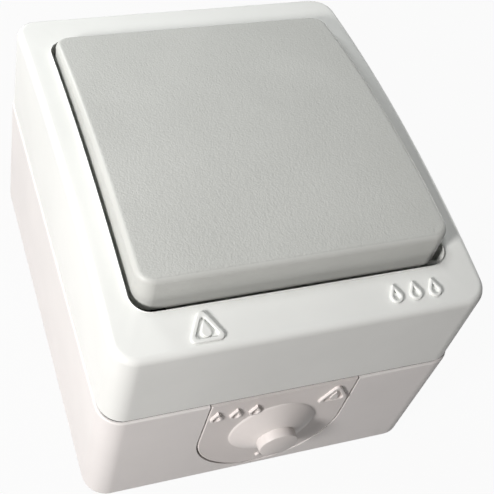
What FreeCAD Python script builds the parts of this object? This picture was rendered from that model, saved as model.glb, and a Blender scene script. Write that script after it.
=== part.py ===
import FreeCAD, Part
import math
import os
import re
import Sketcher

# Surface-mounted splash-proof rocker switch.
# The wall plane is Z = 0, +Z points out of the wall through the rocker, +Y is up on the wall,
# and the cable comes in from below, on the -Y side. Lengths are millimetres, angles degrees.

os.makedirs("parts", exist_ok=True)
doc = FreeCAD.newDocument("weatherproof_switch")

sizes = {
    # Casing
    "seam_width": 66,
    "seam_height": 77.5,
    "seam_level": 28,
    "seam_gap": 0.25,
    "seam_chamfer": 0.5,
    "front_level": 49.85,
    "front_sagitta": 2.88,
    "front_rounding": 1.4,
    "front_wall": 2.2,
    "corner_radius": 4.4,
    "base_inset": 0.37,
    "cover_inset": 0.21,
    "base_floor": 2.2,
    "rim_wall": 2.6,
    "cover_wall": 2.2,
    "cover_root": 1.75,
    "cavity_corner": 2,
    "tongue_depth": 2.5,
    "tongue_wall": 1.2,
    "tongue_play": 0.15,
    "seal_setback": 0.8,
    "seal_width": 1,
    "seal_groove": 1,
    # Fixings
    "wall_slot_length": 7,
    "wall_slot_radius": 2.2,
    "wall_slot_gap": 0.1,
    "cover_screw_inset": 3.8,
    "post_radius": 3.4,
    "post_gap": 0.3,
    "boss_radius": 2.7,
    "boss_height": 6,
    # Rocker opening and the flange under it
    "side_border": 5,
    "end_border": 7.95,
    "opening_radius": 3,
    "opening_edge": 0.35,
    "collar_wall": 1.4,
    "flange_level": 38.5,
    "flange_thickness": 2,
    "flange_side": 6,
    "flange_end": 7.8,
    # Rocker, measured from its pivot
    "pivot_level": 45,
    "rocker_tilt": 3.26,
    "side_gap": 0.7,
    "end_gap": 1.35,
    "cap_corner": 3,
    "cap_crown": 9,
    "cap_sagitta": 2,
    "cap_skirt": 0.5,
    "cap_draft": 0.12,
    "cap_wall": 1.6,
    "cap_top": 1.8,
    "cap_rounding": 1,
    "clip_length": 8,
    "clip_wall": 1.5,
    "clip_hook": 0.7,
    "clip_play": 0.3,
    "clip_gap": 0.1,
    "clip_land": 0.3,
    "clip_lead": 1.2,
    "rib_setback": 5,
    "rib_wall": 1.4,
    # Rocker carrier and its bearing
    "carrier_side": 8.8,
    "carrier_end": 12.45,
    "carrier_level": 3.8,
    "carrier_plate": 1.6,
    "neck_width": 18.2,
    "neck_height": 8.4,
    "neck_depth": 4,
    "stem_radius": 4.5,
    "stem_end": 20,
    "pin_radius": 1.5,
    "pin_play": 0.08,
    "cheek_gap": 0.4,
    "cheek_wall": 2.6,
    "cheek_radius": 3.2,
    "frame_lip": 1,
    "frame_plate": 1.8,
    "frame_window": 12,
    "peg_radius": 1.5,
    "peg_play": 0.05,
    "peg_length": 4,
    "peg_inset": 3,
    "peg_up": 6,
    # Rubber splash gasket
    "splash_thickness": 1.2,
    "splash_play": 0.8,
    "splash_rim": 1.6,
    "splash_rim_height": 2.4,
    "splash_corner": 1,
    # Plunger and spring
    "tip_radius": 1.5,
    "tip_gap": 0.06,
    "taper_length": 3,
    "taper_radius": 2.2,
    "plunger_radius": 2.52,
    "plunger_play": 0.08,
    "plunger_top": 14,
    "spigot_radius": 1.2,
    "spigot_length": 3,
    "bore_end": 4.8,
    "spring_radius": 1.95,
    "spring_wire": 0.3,
    "spring_turns": 7,
    "spring_play": 0.05,
    # Mechanism housing
    "housing_wall": 1.8,
    "housing_end_wall": 1.5,
    "chamber_side": 4.4,
    "chamber_end": 2.3,
    "ear_width": 8,
    "ear_length": 5.4,
    "ear_thickness": 2.8,
    # Contact lever and fixed contacts
    "lever_height": 8,
    "lever_ratio": 2.4,
    "lever_width": 6,
    "lever_length": 21,
    "lever_thickness": 1,
    "lever_corner": 1.5,
    "contact_inset": 2,
    "rivet_radius": 1.6,
    "rivet_height": 0.6,
    "contact_gap": 0.28,
    "fulcrum_gap": 0.3,
    "fulcrum_thickness": 2,
    "pad_margin": 0.4,
    "leg_gap": 0.5,
    "strip_width": 7,
    "strip_thickness": 1,
    "strip_lift": 1,
    "strip_tail": 4,
    # Terminals
    "clamp_gap": 0.3,
    "clamp_side": 7,
    "clamp_height": 7.6,
    "clamp_play": 0.2,
    "clamp_slot_width": 4.2,
    "clamp_slot_height": 5,
    "terminal_screw_radius": 1.25,
    "terminal_head_radius": 2.3,
    "terminal_head_height": 1.8,
    "terminal_screw_length": 4.6,
    "terminal_screw_lift": 2,
    "wire_hole_radius": 1.9,
    # Screws
    "mechanism_screw_radius": 1.2,
    "mechanism_head_radius": 2.3,
    "mechanism_head_height": 1.6,
    "mechanism_screw_bite": 5,
    "cover_screw_radius": 1.5,
    "cover_head_radius": 2.9,
    "cover_head_height": 1.8,
    "cover_screw_bite": 13,
    "screw_play": 0.02,
    "clearance_hole": 0.4,
    "pilot_spare": 1,
    "screw_slot": 0.8,
    # Cable entry
    "entry_radius": 14,
    "entry_level": 15,
    "entry_play": 0.18,
    "entry_edge": 0.25,
    "entry_wall": 2.7,
    "entry_corner": 0.7,
    "entry_lip": 2,
    "entry_lip_wall": 1.5,
    "entry_lip_drop": 2.8,
    "entry_lip_lift": 0.3,
    "cone_level": 15.7,
    "cone_radius": 8,
    "cone_height": 2.3,
    "cone_top_radius": 3.95,
    "stub_radius": 3.65,
    "stub_length": 4.1,
    "stub_edge": 0.2,
    "stub_wall": 0.9,
    "pip_radius": 0.5,
    "pip_height": 0.45,
    "pip_drop": 11.5,
    # Raised marks
    "mark_relief": 0.3,
    "mark_root": 1,
    "mark_line": 0.6,
    "triangle_width": 5.7,
    "triangle_height": 5.3,
    "triangle_rounding": 0.9,
    "inner_droplet_height": 2.9,
    "inner_droplet_radius": 0.8,
    "inner_droplet_lift": 0.8,
    "droplet_height": 3.2,
    "droplet_radius": 0.85,
    "droplet_pitch": 3.6,
    "cover_triangle_inset": 15.6,
    "cover_droplets_inset": 13.5,
    "cover_mark_setback": 3.8,
    "entry_triangle_across": 10.2,
    "entry_droplets_across": 8.6,
    "entry_mark_level": 24,
}

# Sizes that follow from the ones above, by the same names wherever they are used
derived = {
    "cavity_width": "seam_width - 2 * rim_wall",
    "cavity_height": "seam_height - 2 * rim_wall",
    "tongue_width": "cavity_width - 2 * tongue_play",
    "tongue_height": "cavity_height - 2 * tongue_play",
    "throat_width": "tongue_width - 2 * tongue_wall",
    "throat_height": "tongue_height - 2 * tongue_wall",
    "cover_bottom": "seam_level + seam_gap",
    "cavity_bottom": "cover_bottom + cover_root",
    "opening_width": "seam_width - 2 * side_border",
    "opening_height": "seam_height - 2 * end_border",
    "front_half": "seam_height / 2 - cover_inset",
    "front_radius": "(front_half * front_half + front_sagitta * front_sagitta) / (2 * front_sagitta)",
    "seal_width_outside": "seam_width - 2 * seal_setback",
    "seal_height_outside": "seam_height - 2 * seal_setback",
    "flange_bottom": "flange_level - flange_thickness",
    "splash_bottom": "flange_bottom - splash_thickness",
    "frame_bottom": "splash_bottom - frame_plate",
    "housing_bottom": "base_floor + boss_height",
    "housing_floor": "housing_bottom + housing_wall",
    "cap_width": "opening_width - 2 * side_gap",
    "cap_height": "opening_height - 2 * end_gap",
    "cap_half": "cap_height / 2",
    "cap_radius": "(cap_half * cap_half + cap_sagitta * cap_sagitta) / (2 * cap_sagitta)",
    "cap_inside": "cap_crown - cap_top",
    "carrier_width": "cap_width - 2 * carrier_side",
    "carrier_height": "cap_height - 2 * carrier_end",
    "carrier_top": "carrier_level + carrier_plate",
    "rib_up": "carrier_height / 2 - rib_setback",
    "cheek_inside": "neck_width / 2 + cheek_gap",
    "cheek_outside": "cheek_inside + cheek_wall",
    "bore_radius": "plunger_radius + plunger_play",
    "chamber_width": "lever_width + 2 * chamber_side",
    "chamber_height": "lever_length + 2 * chamber_end",
    "contact_arm": "lever_length / 2 - contact_inset",
    "lever_level": "housing_floor + lever_height",
    "lever_tilt": "lever_ratio * rocker_tilt",
    "tip_distance": "pivot_level - lever_level - lever_thickness - tip_radius - tip_gap",
    "strip_bottom": "housing_floor + strip_lift",
    "strip_top": "strip_bottom + strip_thickness",
    "closing_drop": "(contact_arm + rivet_radius) * sin(lever_tilt) + rivet_height * cos(lever_tilt)",
    "fixed_rivet_top": "lever_level - closing_drop - contact_gap",
    "fixed_pad_top": "fixed_rivet_top - rivet_height",
    "pad_inside": "contact_arm - rivet_radius - pad_margin",
    "leg_outside": "lever_length / 2 + leg_gap + strip_thickness",
    "housing_width": "seam_width * 6 / 11",
    "terminal_across": "housing_width * 5 / 18",
    "terminal_up": "leg_outside + clamp_gap + clamp_side / 2",
    "terminal_seat": "housing_floor + clamp_height + terminal_screw_lift",
    "housing_height": "2 * (terminal_up + clamp_side / 2 + clamp_play + housing_end_wall)",
    "peg_across": "housing_width / 2 - peg_inset",
    "frame_width": "housing_width + 2 * frame_lip",
    "frame_height": "housing_height + 2 * frame_lip",
    "boss_up": "housing_height / 2 + ear_length / 2",
    "cover_screw_across": "frame_width / 2 + post_radius + post_gap",
    "cover_screw_up": "opening_height / 2 - cover_screw_inset",
    "wall_slot_spacing": "2 * (boss_up + boss_radius + wall_slot_gap + wall_slot_length / 2)",
    "cover_triangle_across": "seam_width / 2 - cover_triangle_inset",
    "cover_droplets_across": "seam_width / 2 - cover_droplets_inset",
    "cover_mark_up": "opening_height / 2 + cover_mark_setback",
    "entry_outside": "entry_radius - entry_play",
    "wall_slope": "atan(base_inset / seam_level)",
    "wall_at_cone": "seam_height / 2 - base_inset * (1 - cone_level / seam_level)",
    "wall_at_marks": "seam_height / 2 - base_inset * (1 - entry_mark_level / seam_level)",
}

sheet = doc.addObject("Spreadsheet::Sheet", "sizes")
for row, (alias, size) in enumerate(sizes.items(), start=1):
    sheet.set(f"A{row}", alias)
    sheet.set(f"B{row}", str(size))
    sheet.setAlias(f"B{row}", alias)
doc.recompute()


def expand(text):
    """Puts the sheet's cells and the derived sizes in place of their names."""

    def replace(match):
        word = match.group(0)
        if word in derived:
            return f"({expand(derived[word])})"
        return f"sizes.{word}" if word in sizes else word

    return re.sub(r"[a-z][a-z_]*", replace, str(text))


def bind(item, name, text):
    item.setExpression(name, expand(text))


def value(text):
    found = sheet.evalExpression(expand(text))
    return float(getattr(found, "Value", found))


# Bodies, sketches and their features


def new_body(name):
    return doc.addObject("PartDesign::Body", name)


def new_sketch(body, name, role, shift=(0, 0, 0), turn=None):
    """A sketch on one of the body's own origin planes, moved by shift in the plane's axes."""
    sketch = body.newObject("Sketcher::SketchObject", name)
    plane = next(item for item in body.Origin.OriginFeatures if item.Role == role)
    sketch.AttachmentSupport = [(plane, "")]
    sketch.MapMode = "FlatFace"
    if turn is None:
        for axis, distance in zip("xyz", shift):
            bind(sketch, f".AttachmentOffset.Base.{axis}", distance)
    else:
        place = "; ".join(str(distance) for distance in shift)
        bind(sketch, "AttachmentOffset", f"placement(vector({place}); rotation(vector(1; 0; 0); {turn}))")
    return sketch


def set_distance(sketch, kind, first, second, text):
    number = sketch.addConstraint(Sketcher.Constraint(kind, *first, *second, value(text)))
    bind(sketch, f"Constraints[{number}]", text)


def draw_outline(sketch, points):
    """A closed outline of straight lines through points given from the sketch's origin."""
    start = sketch.GeometryCount
    count = len(points)
    for number in range(count):
        first = 2 * math.pi * number / count
        last = 2 * math.pi * (number + 1) / count
        ends = [FreeCAD.Vector(9 * math.cos(turn), 9 * math.sin(turn), 0) for turn in (first, last)]
        sketch.addGeometry(Part.LineSegment(*ends), False)
    for number in range(count):
        following = start + (number + 1) % count
        sketch.addConstraint(Sketcher.Constraint("Coincident", start + number, 2, following, 1))
    for number, (across, up) in enumerate(points):
        set_distance(sketch, "DistanceX", (-1, 1), (start + number, 1), across)
        set_distance(sketch, "DistanceY", (-1, 1), (start + number, 1), up)


def draw_rectangle(sketch, across, up):
    """A rectangle between two low and high pairs."""
    (left, right), (low, high) = across, up
    draw_outline(sketch, [(left, low), (right, low), (right, high), (left, high)])


def draw_rounded_rectangle(sketch, width, height, radius):
    """A rectangle with round corners, centred on the sketch's origin."""
    start = sketch.GeometryCount
    half_width = value(width) / 2
    half_height = value(height) / 2
    round_radius = value(radius)
    x_line = half_width - round_radius
    y_line = half_height - round_radius
    ends = [
        ((-x_line, -half_height), (x_line, -half_height)),
        ((half_width, -y_line), (half_width, y_line)),
        ((x_line, half_height), (-x_line, half_height)),
        ((-half_width, y_line), (-half_width, -y_line)),
    ]
    centres = [(x_line, -y_line), (x_line, y_line), (-x_line, y_line), (-x_line, -y_line)]
    for number in range(4):
        line = [FreeCAD.Vector(*end, 0) for end in ends[number]]
        sketch.addGeometry(Part.LineSegment(*line), False)
        circle = Part.Circle(FreeCAD.Vector(*centres[number], 0), FreeCAD.Vector(0, 0, 1), round_radius)
        first = math.pi / 2 * (number - 1)
        sketch.addGeometry(Part.ArcOfCircle(circle, first, first + math.pi / 2), False)
    for number in range(8):
        following = start + (number + 1) % 8
        sketch.addConstraint(Sketcher.Constraint("Tangent", start + number, 2, following, 1))
    for number, kind in enumerate(("Horizontal", "Vertical", "Horizontal", "Vertical")):
        sketch.addConstraint(Sketcher.Constraint(kind, start + 2 * number))
    for number in (3, 5, 7):
        sketch.addConstraint(Sketcher.Constraint("Equal", start + 1, start + number))
    sketch.addConstraint(Sketcher.Constraint("Symmetric", start + 7, 3, start + 3, 3, -1, 1))
    number = sketch.addConstraint(Sketcher.Constraint("Radius", start + 1, round_radius))
    bind(sketch, f"Constraints[{number}]", radius)
    set_distance(sketch, "DistanceX", (start + 6, 1), (start + 2, 1), width)
    set_distance(sketch, "DistanceY", (start, 1), (start + 4, 1), height)


def draw_circle(sketch, radius, across=0, up=0):
    circle = Part.Circle(FreeCAD.Vector(0, 0, 0), FreeCAD.Vector(0, 0, 1), value(radius))
    number = sketch.addGeometry(circle, False)
    rounding = sketch.addConstraint(Sketcher.Constraint("Radius", number, value(radius)))
    bind(sketch, f"Constraints[{rounding}]", radius)
    set_distance(sketch, "DistanceX", (-1, 1), (number, 3), across)
    set_distance(sketch, "DistanceY", (-1, 1), (number, 3), up)


def draw_tongue(sketch, radius, length, side):
    """A half circle about the sketch's origin, carried on by straight sides for length.

    The sides run up where side is 1, and down where it is -1.
    """
    start = sketch.GeometryCount
    r, reach = value(radius), value(length) * side
    circle = Part.Circle(FreeCAD.Vector(0, 0, 0), FreeCAD.Vector(0, 0, 1), r)
    first = math.pi if side > 0 else 0
    sketch.addGeometry(Part.ArcOfCircle(circle, first, first + math.pi), False)
    corners = [(r * side, 0), (r * side, reach), (-r * side, reach), (-r * side, 0)]
    for one, other in zip(corners, corners[1:]):
        sketch.addGeometry(Part.LineSegment(FreeCAD.Vector(*one, 0), FreeCAD.Vector(*other, 0)), False)
    sketch.addConstraint(Sketcher.Constraint("Coincident", start, 3, -1, 1))
    sketch.addConstraint(Sketcher.Constraint("Tangent", start, 2, start + 1, 1))
    sketch.addConstraint(Sketcher.Constraint("Coincident", start + 1, 2, start + 2, 1))
    sketch.addConstraint(Sketcher.Constraint("Coincident", start + 2, 2, start + 3, 1))
    sketch.addConstraint(Sketcher.Constraint("Tangent", start + 3, 2, start, 1))
    sketch.addConstraint(Sketcher.Constraint("Vertical", start + 1))
    sketch.addConstraint(Sketcher.Constraint("Horizontal", start + 2))
    number = sketch.addConstraint(Sketcher.Constraint("Radius", start, r))
    bind(sketch, f"Constraints[{number}]", radius)
    set_distance(sketch, "DistanceY", (-1, 1), (start + 1, 2), f"{side} * ({length})")


def draw_arch(sketch, radius, span, depth, side):
    """An arch whose crown is the sketch's origin, closed above (side 1) or below (side -1)."""
    start = sketch.GeometryCount
    r, half, reach = value(radius), value(span) / 2, value(depth) * side
    lean = math.asin(half / r)
    foot = r * math.cos(lean) - r
    circle = Part.Circle(FreeCAD.Vector(0, -r, 0), FreeCAD.Vector(0, 0, 1), r)
    sketch.addGeometry(Part.ArcOfCircle(circle, math.pi / 2 - lean, math.pi / 2 + lean), False)
    corners = [(-half, foot), (-half, reach), (half, reach), (half, foot)]
    for one, other in zip(corners, corners[1:]):
        sketch.addGeometry(Part.LineSegment(FreeCAD.Vector(*one, 0), FreeCAD.Vector(*other, 0)), False)
    for number in range(4):
        following = start + (number + 1) % 4
        sketch.addConstraint(Sketcher.Constraint("Coincident", start + number, 2, following, 1))
    for number, kind in enumerate(("Vertical", "Horizontal", "Vertical"), start=1):
        sketch.addConstraint(Sketcher.Constraint(kind, start + number))
    number = sketch.addConstraint(Sketcher.Constraint("Radius", start, r))
    bind(sketch, f"Constraints[{number}]", radius)
    set_distance(sketch, "DistanceX", (-1, 1), (start, 3), 0)
    set_distance(sketch, "DistanceY", (-1, 1), (start, 3), f"-({radius})")
    set_distance(sketch, "DistanceX", (-1, 1), (start + 2, 1), f"-({span}) / 2")
    set_distance(sketch, "DistanceX", (-1, 1), (start + 2, 2), f"({span}) / 2")
    set_distance(sketch, "DistanceY", (-1, 1), (start + 2, 1), f"{side} * ({depth})")


def draw_slot(sketch, length, radius):
    """A slot along the sketch's upright axis, centred on its origin."""
    start = sketch.GeometryCount
    r = value(radius)
    reach = value(length) / 2 - r
    for centre, first in ((reach, 0), (-reach, math.pi)):
        circle = Part.Circle(FreeCAD.Vector(0, centre, 0), FreeCAD.Vector(0, 0, 1), r)
        sketch.addGeometry(Part.ArcOfCircle(circle, first, first + math.pi), False)
    for across, one, other in ((-r, reach, -reach), (r, -reach, reach)):
        ends = FreeCAD.Vector(across, one, 0), FreeCAD.Vector(across, other, 0)
        sketch.addGeometry(Part.LineSegment(*ends), False)
    order = (start, start + 2, start + 1, start + 3)
    for one, other in zip(order, order[1:] + order[:1]):
        sketch.addConstraint(Sketcher.Constraint("Tangent", one, 2, other, 1))
    sketch.addConstraint(Sketcher.Constraint("Equal", start, start + 1))
    sketch.addConstraint(Sketcher.Constraint("Vertical", start + 2))
    number = sketch.addConstraint(Sketcher.Constraint("Radius", start, r))
    bind(sketch, f"Constraints[{number}]", radius)
    set_distance(sketch, "DistanceX", (-1, 1), (start, 3), 0)
    for arc, side in ((start, 1), (start + 1, -1)):
        set_distance(sketch, "DistanceY", (-1, 1), (arc, 3), f"{side} * (({length}) / 2 - ({radius}))")


def extrude(body, kind, sketch, length, name, reverse=False, both=False, taper=None):
    feature = body.newObject(f"PartDesign::{kind}", name)
    feature.Profile = sketch
    feature.Reversed = reverse
    feature.Midplane = both
    bind(feature, "Length", length)
    if taper:
        bind(feature, "TaperAngle", taper)
    return feature


def add_pad(body, sketch, length, name, **options):
    return extrude(body, "Pad", sketch, length, name, **options)


def add_pocket(body, sketch, length, name, **options):
    """A pocket from the sketch, checked to take material away."""
    doc.recompute()
    before = body.Shape.Volume
    feature = extrude(body, "Pocket", sketch, length, name, **options)
    doc.recompute()
    if body.Shape.Volume >= before - 1e-6:
        raise RuntimeError(f"{name} cuts nothing")
    return feature


def round_edges(body, name, radius, chosen, kind="Fillet"):
    """Rounds or chamfers the edges that chosen picks from the body as it stands."""
    doc.recompute()
    base = body.Tip
    picked = chosen(base.Shape)
    names = [
        f"Edge{number}"
        for number, edge in enumerate(base.Shape.Edges, start=1)
        if any(edge.isSame(item) for item in picked)
    ]
    feature = body.newObject(f"PartDesign::{kind}", name)
    feature.Base = (base, names)
    bind(feature, "Radius" if kind == "Fillet" else "Size", radius)
    return feature


def arched_face(shape):
    """The widest face that is bent only a little."""
    bent = [
        face
        for face in shape.Faces
        if isinstance(face.Surface, Part.Cylinder) and face.Surface.Radius > 100
    ]
    return max(bent, key=lambda face: face.BoundBox.ZMax)


def outer_edges_of_arch(shape):
    return arched_face(shape).OuterWire.Edges


def inner_edges_of_arch(shape):
    face = arched_face(shape)
    return [
        edge
        for wire in face.Wires
        if not wire.isSame(face.OuterWire)
        for edge in wire.Edges
    ]


def edges_in_box(shape, low, high):
    """Edges that lie wholly between two corners."""
    box = FreeCAD.BoundBox(*low, *high)
    return [edge for edge in shape.Edges if box.isInside(edge.BoundBox)]


def upright_edges(across, up):
    """Picks the upright edges that stand at plus or minus across and up."""

    def chosen(shape):
        picked = []
        for edge in shape.Edges:
            ends = [vertex.Point for vertex in edge.Vertexes]
            straight = len(ends) == 2 and abs(ends[0].z - ends[1].z) > 1
            if straight and all(
                abs(abs(end.x) - value(across)) < 0.02 and abs(abs(end.y) - value(up)) < 0.02
                for end in ends
            ):
                picked.append(edge)
        return picked

    return chosen


# Plain solids


def block(name, across, up, out):
    """A box between a low and a high value along each axis."""
    solid = doc.addObject("Part::Box", name)
    for size, axis, (low, high) in zip(("Length", "Width", "Height"), "xyz", (across, up, out)):
        bind(solid, size, f"({high}) - ({low})")
        bind(solid, f".Placement.Base.{axis}", low)
    return solid


def rod(name, radius, centre, span, axis="z"):
    """A cylinder along an axis, through centre in the other two axes taken in order."""
    solid = doc.addObject("Part::Cylinder", name)
    low, high = span
    bind(solid, "Radius", radius)
    bind(solid, "Height", f"({high}) - ({low})")
    one, other = centre
    if axis == "z":
        corner, turn = (one, other, low), "0; 0; 1); 0"
    elif axis == "x":
        corner, turn = (low, one, other), "0; 1; 0); 90"
    else:
        corner, turn = (one, low, other), "1; 0; 0); -90"
    place = "; ".join(str(item) for item in corner)
    bind(solid, "Placement", f"placement(vector({place}); rotation(vector({turn}))")
    return solid


def fuse(name, solids):
    joined = doc.addObject("Part::MultiFuse", name)
    joined.Shapes = solids
    return joined


def cut(name, base, tool):
    left = doc.addObject("Part::Cut", name)
    left.Base = base
    left.Tool = tool
    return left


def group(name, solids):
    gathered = doc.addObject("Part::Compound", name)
    gathered.Links = solids
    return gathered


nodes = {}


def keep(name, item, place=None):
    """Makes an object the sub-part of that name, at its place in the switch."""
    item.Label = name
    if place:
        bind(item, "Placement", place)
    nodes[name] = item


# Where the three terminals stand
terminals = {
    "lower_left": ("-terminal_across", "-terminal_up"),
    "lower_right": ("terminal_across", "-terminal_up"),
    "upper_right": ("terminal_across", "terminal_up"),
}

# Where the rocker and the contact lever rest
at_rocker = "placement(vector(0; 0; pivot_level); rotation(vector(1; 0; 0); -rocker_tilt))"
at_lever = "placement(vector(0; 0; lever_level); rotation(vector(1; 0; 0); lever_tilt))"


# Raised marks


def droplet_face(height, radius):
    """A drop that stands on the origin, with its point up."""
    reach = height - radius
    lean = math.acos(radius / reach)
    side = FreeCAD.Vector(radius * math.sin(lean), radius + radius * math.cos(lean), 0)
    other = FreeCAD.Vector(-side.x, side.y, 0)
    point = FreeCAD.Vector(0, height, 0)
    foot = FreeCAD.Vector(0, 0, 0)
    edges = [
        Part.LineSegment(other, point).toShape(),
        Part.LineSegment(point, side).toShape(),
        Part.Arc(side, foot, other).toShape(),
    ]
    return Part.Face(Part.Wire(edges))


def triangle_ring(width, height, rounding, line):
    """A triangular ring with round corners, standing on the origin."""
    corners = [
        FreeCAD.Vector(-width / 2 + rounding, rounding, 0),
        FreeCAD.Vector(width / 2 - rounding, rounding, 0),
        FreeCAD.Vector(0, height - rounding, 0),
    ]
    core = Part.Face(Part.makePolygon(corners + corners[:1]))
    return core.makeOffset2D(rounding).cut(core.makeOffset2D(rounding - line))


def mark_faces(triangle_across, droplets_across):
    """A drop in a triangle on one side, and a row of three drops on the other, about Y = 0."""
    width, height = value("triangle_width"), value("triangle_height")
    drop, radius = value("droplet_height"), value("droplet_radius")
    ring = triangle_ring(width, height, value("triangle_rounding"), value("mark_line"))
    ring.translate(FreeCAD.Vector(triangle_across, -height / 2, 0))
    inner = droplet_face(value("inner_droplet_height"), value("inner_droplet_radius"))
    inner.translate(FreeCAD.Vector(triangle_across, value("inner_droplet_lift") - height / 2, 0))
    faces = ring.Faces + [inner]
    for number in (-1, 0, 1):
        single = droplet_face(drop, radius)
        across = droplets_across + number * value("droplet_pitch")
        single.translate(FreeCAD.Vector(across, -drop / 2, 0))
        faces.append(single)
    return faces


# Casing


def make_back_box():
    body = new_body("back_box")
    outline = new_sketch(body, "back_outline", "XY_Plane")
    width = "seam_width - 2 * base_inset"
    height = "seam_height - 2 * base_inset"
    draw_rounded_rectangle(outline, width, height, "corner_radius")
    add_pad(body, outline, "seam_level", "back_block", taper="wall_slope")
    cavity = new_sketch(body, "cavity_outline", "XY_Plane", (0, 0, "base_floor"))
    draw_rounded_rectangle(cavity, "cavity_width", "cavity_height", "cavity_corner")
    add_pocket(body, cavity, "seam_level", "cavity", reverse=True)

    entry = new_sketch(body, "entry_outline", "XZ_Plane", (0, "entry_level", "seam_height / 2 + 1"))
    draw_tongue(entry, "entry_radius", "seam_level", 1)
    add_pocket(body, entry, "rim_wall + 2", "entry_cut")
    low = value("-entry_radius - 0.1"), value("-seam_height / 2 - 1"), value("seam_level - 0.1")
    high = value("entry_radius + 0.1"), 0, value("seam_level + 0.1")
    round_edges(body, "entry_corners", "entry_corner", lambda shape: edges_in_box(shape, low, high))

    def rim_edges(shape):
        top = max(shape.Faces, key=lambda face: face.CenterOfMass.z)
        half_width, half_height = value("seam_width / 2"), value("seam_height / 2")
        outline = []
        for edge in top.Edges:
            ends = [vertex.Point for vertex in edge.Vertexes]
            if all(max(abs(end.x) / half_width, abs(end.y) / half_height) > 0.99 for end in ends):
                outline.append(edge)
        return outline

    round_edges(body, "rim_chamfer", "seam_chamfer", rim_edges, kind="Chamfer")

    groove = new_sketch(body, "seal_groove_outline", "XY_Plane", (0, 0, "seam_level - seal_groove"))
    draw_seal_ring(groove)
    add_pocket(body, groove, "seal_groove + 1", "seal_groove_cut", reverse=True)

    for side in (1, -1):
        end = "upper" if side > 0 else "lower"
        shift = (f"{side} * cover_screw_across", f"{side} * cover_screw_up", "base_floor / 2")
        post = new_sketch(body, f"{end}_post_outline", "XY_Plane", shift)
        draw_circle(post, "post_radius")
        add_pad(body, post, "splash_bottom - base_floor / 2", f"{end}_post")
        pilot = new_sketch(body, f"{end}_pilot_outline", "XY_Plane", (*shift[:2], "splash_bottom"))
        draw_circle(pilot, "cover_screw_radius + screw_play")
        add_pocket(body, pilot, "cover_screw_bite + pilot_spare", f"{end}_pilot")

        shift = (0, f"{side} * boss_up", "base_floor / 2")
        boss = new_sketch(body, f"{end}_boss_outline", "XY_Plane", shift)
        draw_circle(boss, "boss_radius")
        add_pad(body, boss, "housing_bottom - base_floor / 2", f"{end}_boss")
        bite = new_sketch(body, f"{end}_bite_outline", "XY_Plane", (*shift[:2], "housing_bottom"))
        draw_circle(bite, "mechanism_screw_radius + screw_play")
        add_pocket(body, bite, "mechanism_screw_bite + pilot_spare", f"{end}_bite")

        slot = new_sketch(body, f"{end}_slot_outline", "XY_Plane", (0, f"{side} * wall_slot_spacing / 2", 0))
        draw_slot(slot, "wall_slot_length", "wall_slot_radius")
        add_pocket(body, slot, "base_floor + 1", f"{end}_slot", reverse=True)
    keep("back_box", body)


def draw_seal_ring(sketch):
    """The path of the seam's seal, as two rounded rectangles one in the other."""
    radius = "corner_radius - seal_setback"
    draw_rounded_rectangle(sketch, "seal_width_outside", "seal_height_outside", radius)
    width = "seal_width_outside - 2 * seal_width"
    height = "seal_height_outside - 2 * seal_width"
    draw_rounded_rectangle(sketch, width, height, f"{radius} - seal_width")


def make_seam_seal():
    body = new_body("seam_seal")
    ring = new_sketch(body, "seal_outline", "XY_Plane", (0, 0, "seam_level - seal_groove"))
    draw_seal_ring(ring)
    add_pad(body, ring, "seal_groove + seam_gap", "seal_ring")
    keep("seam_seal", body)


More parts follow.
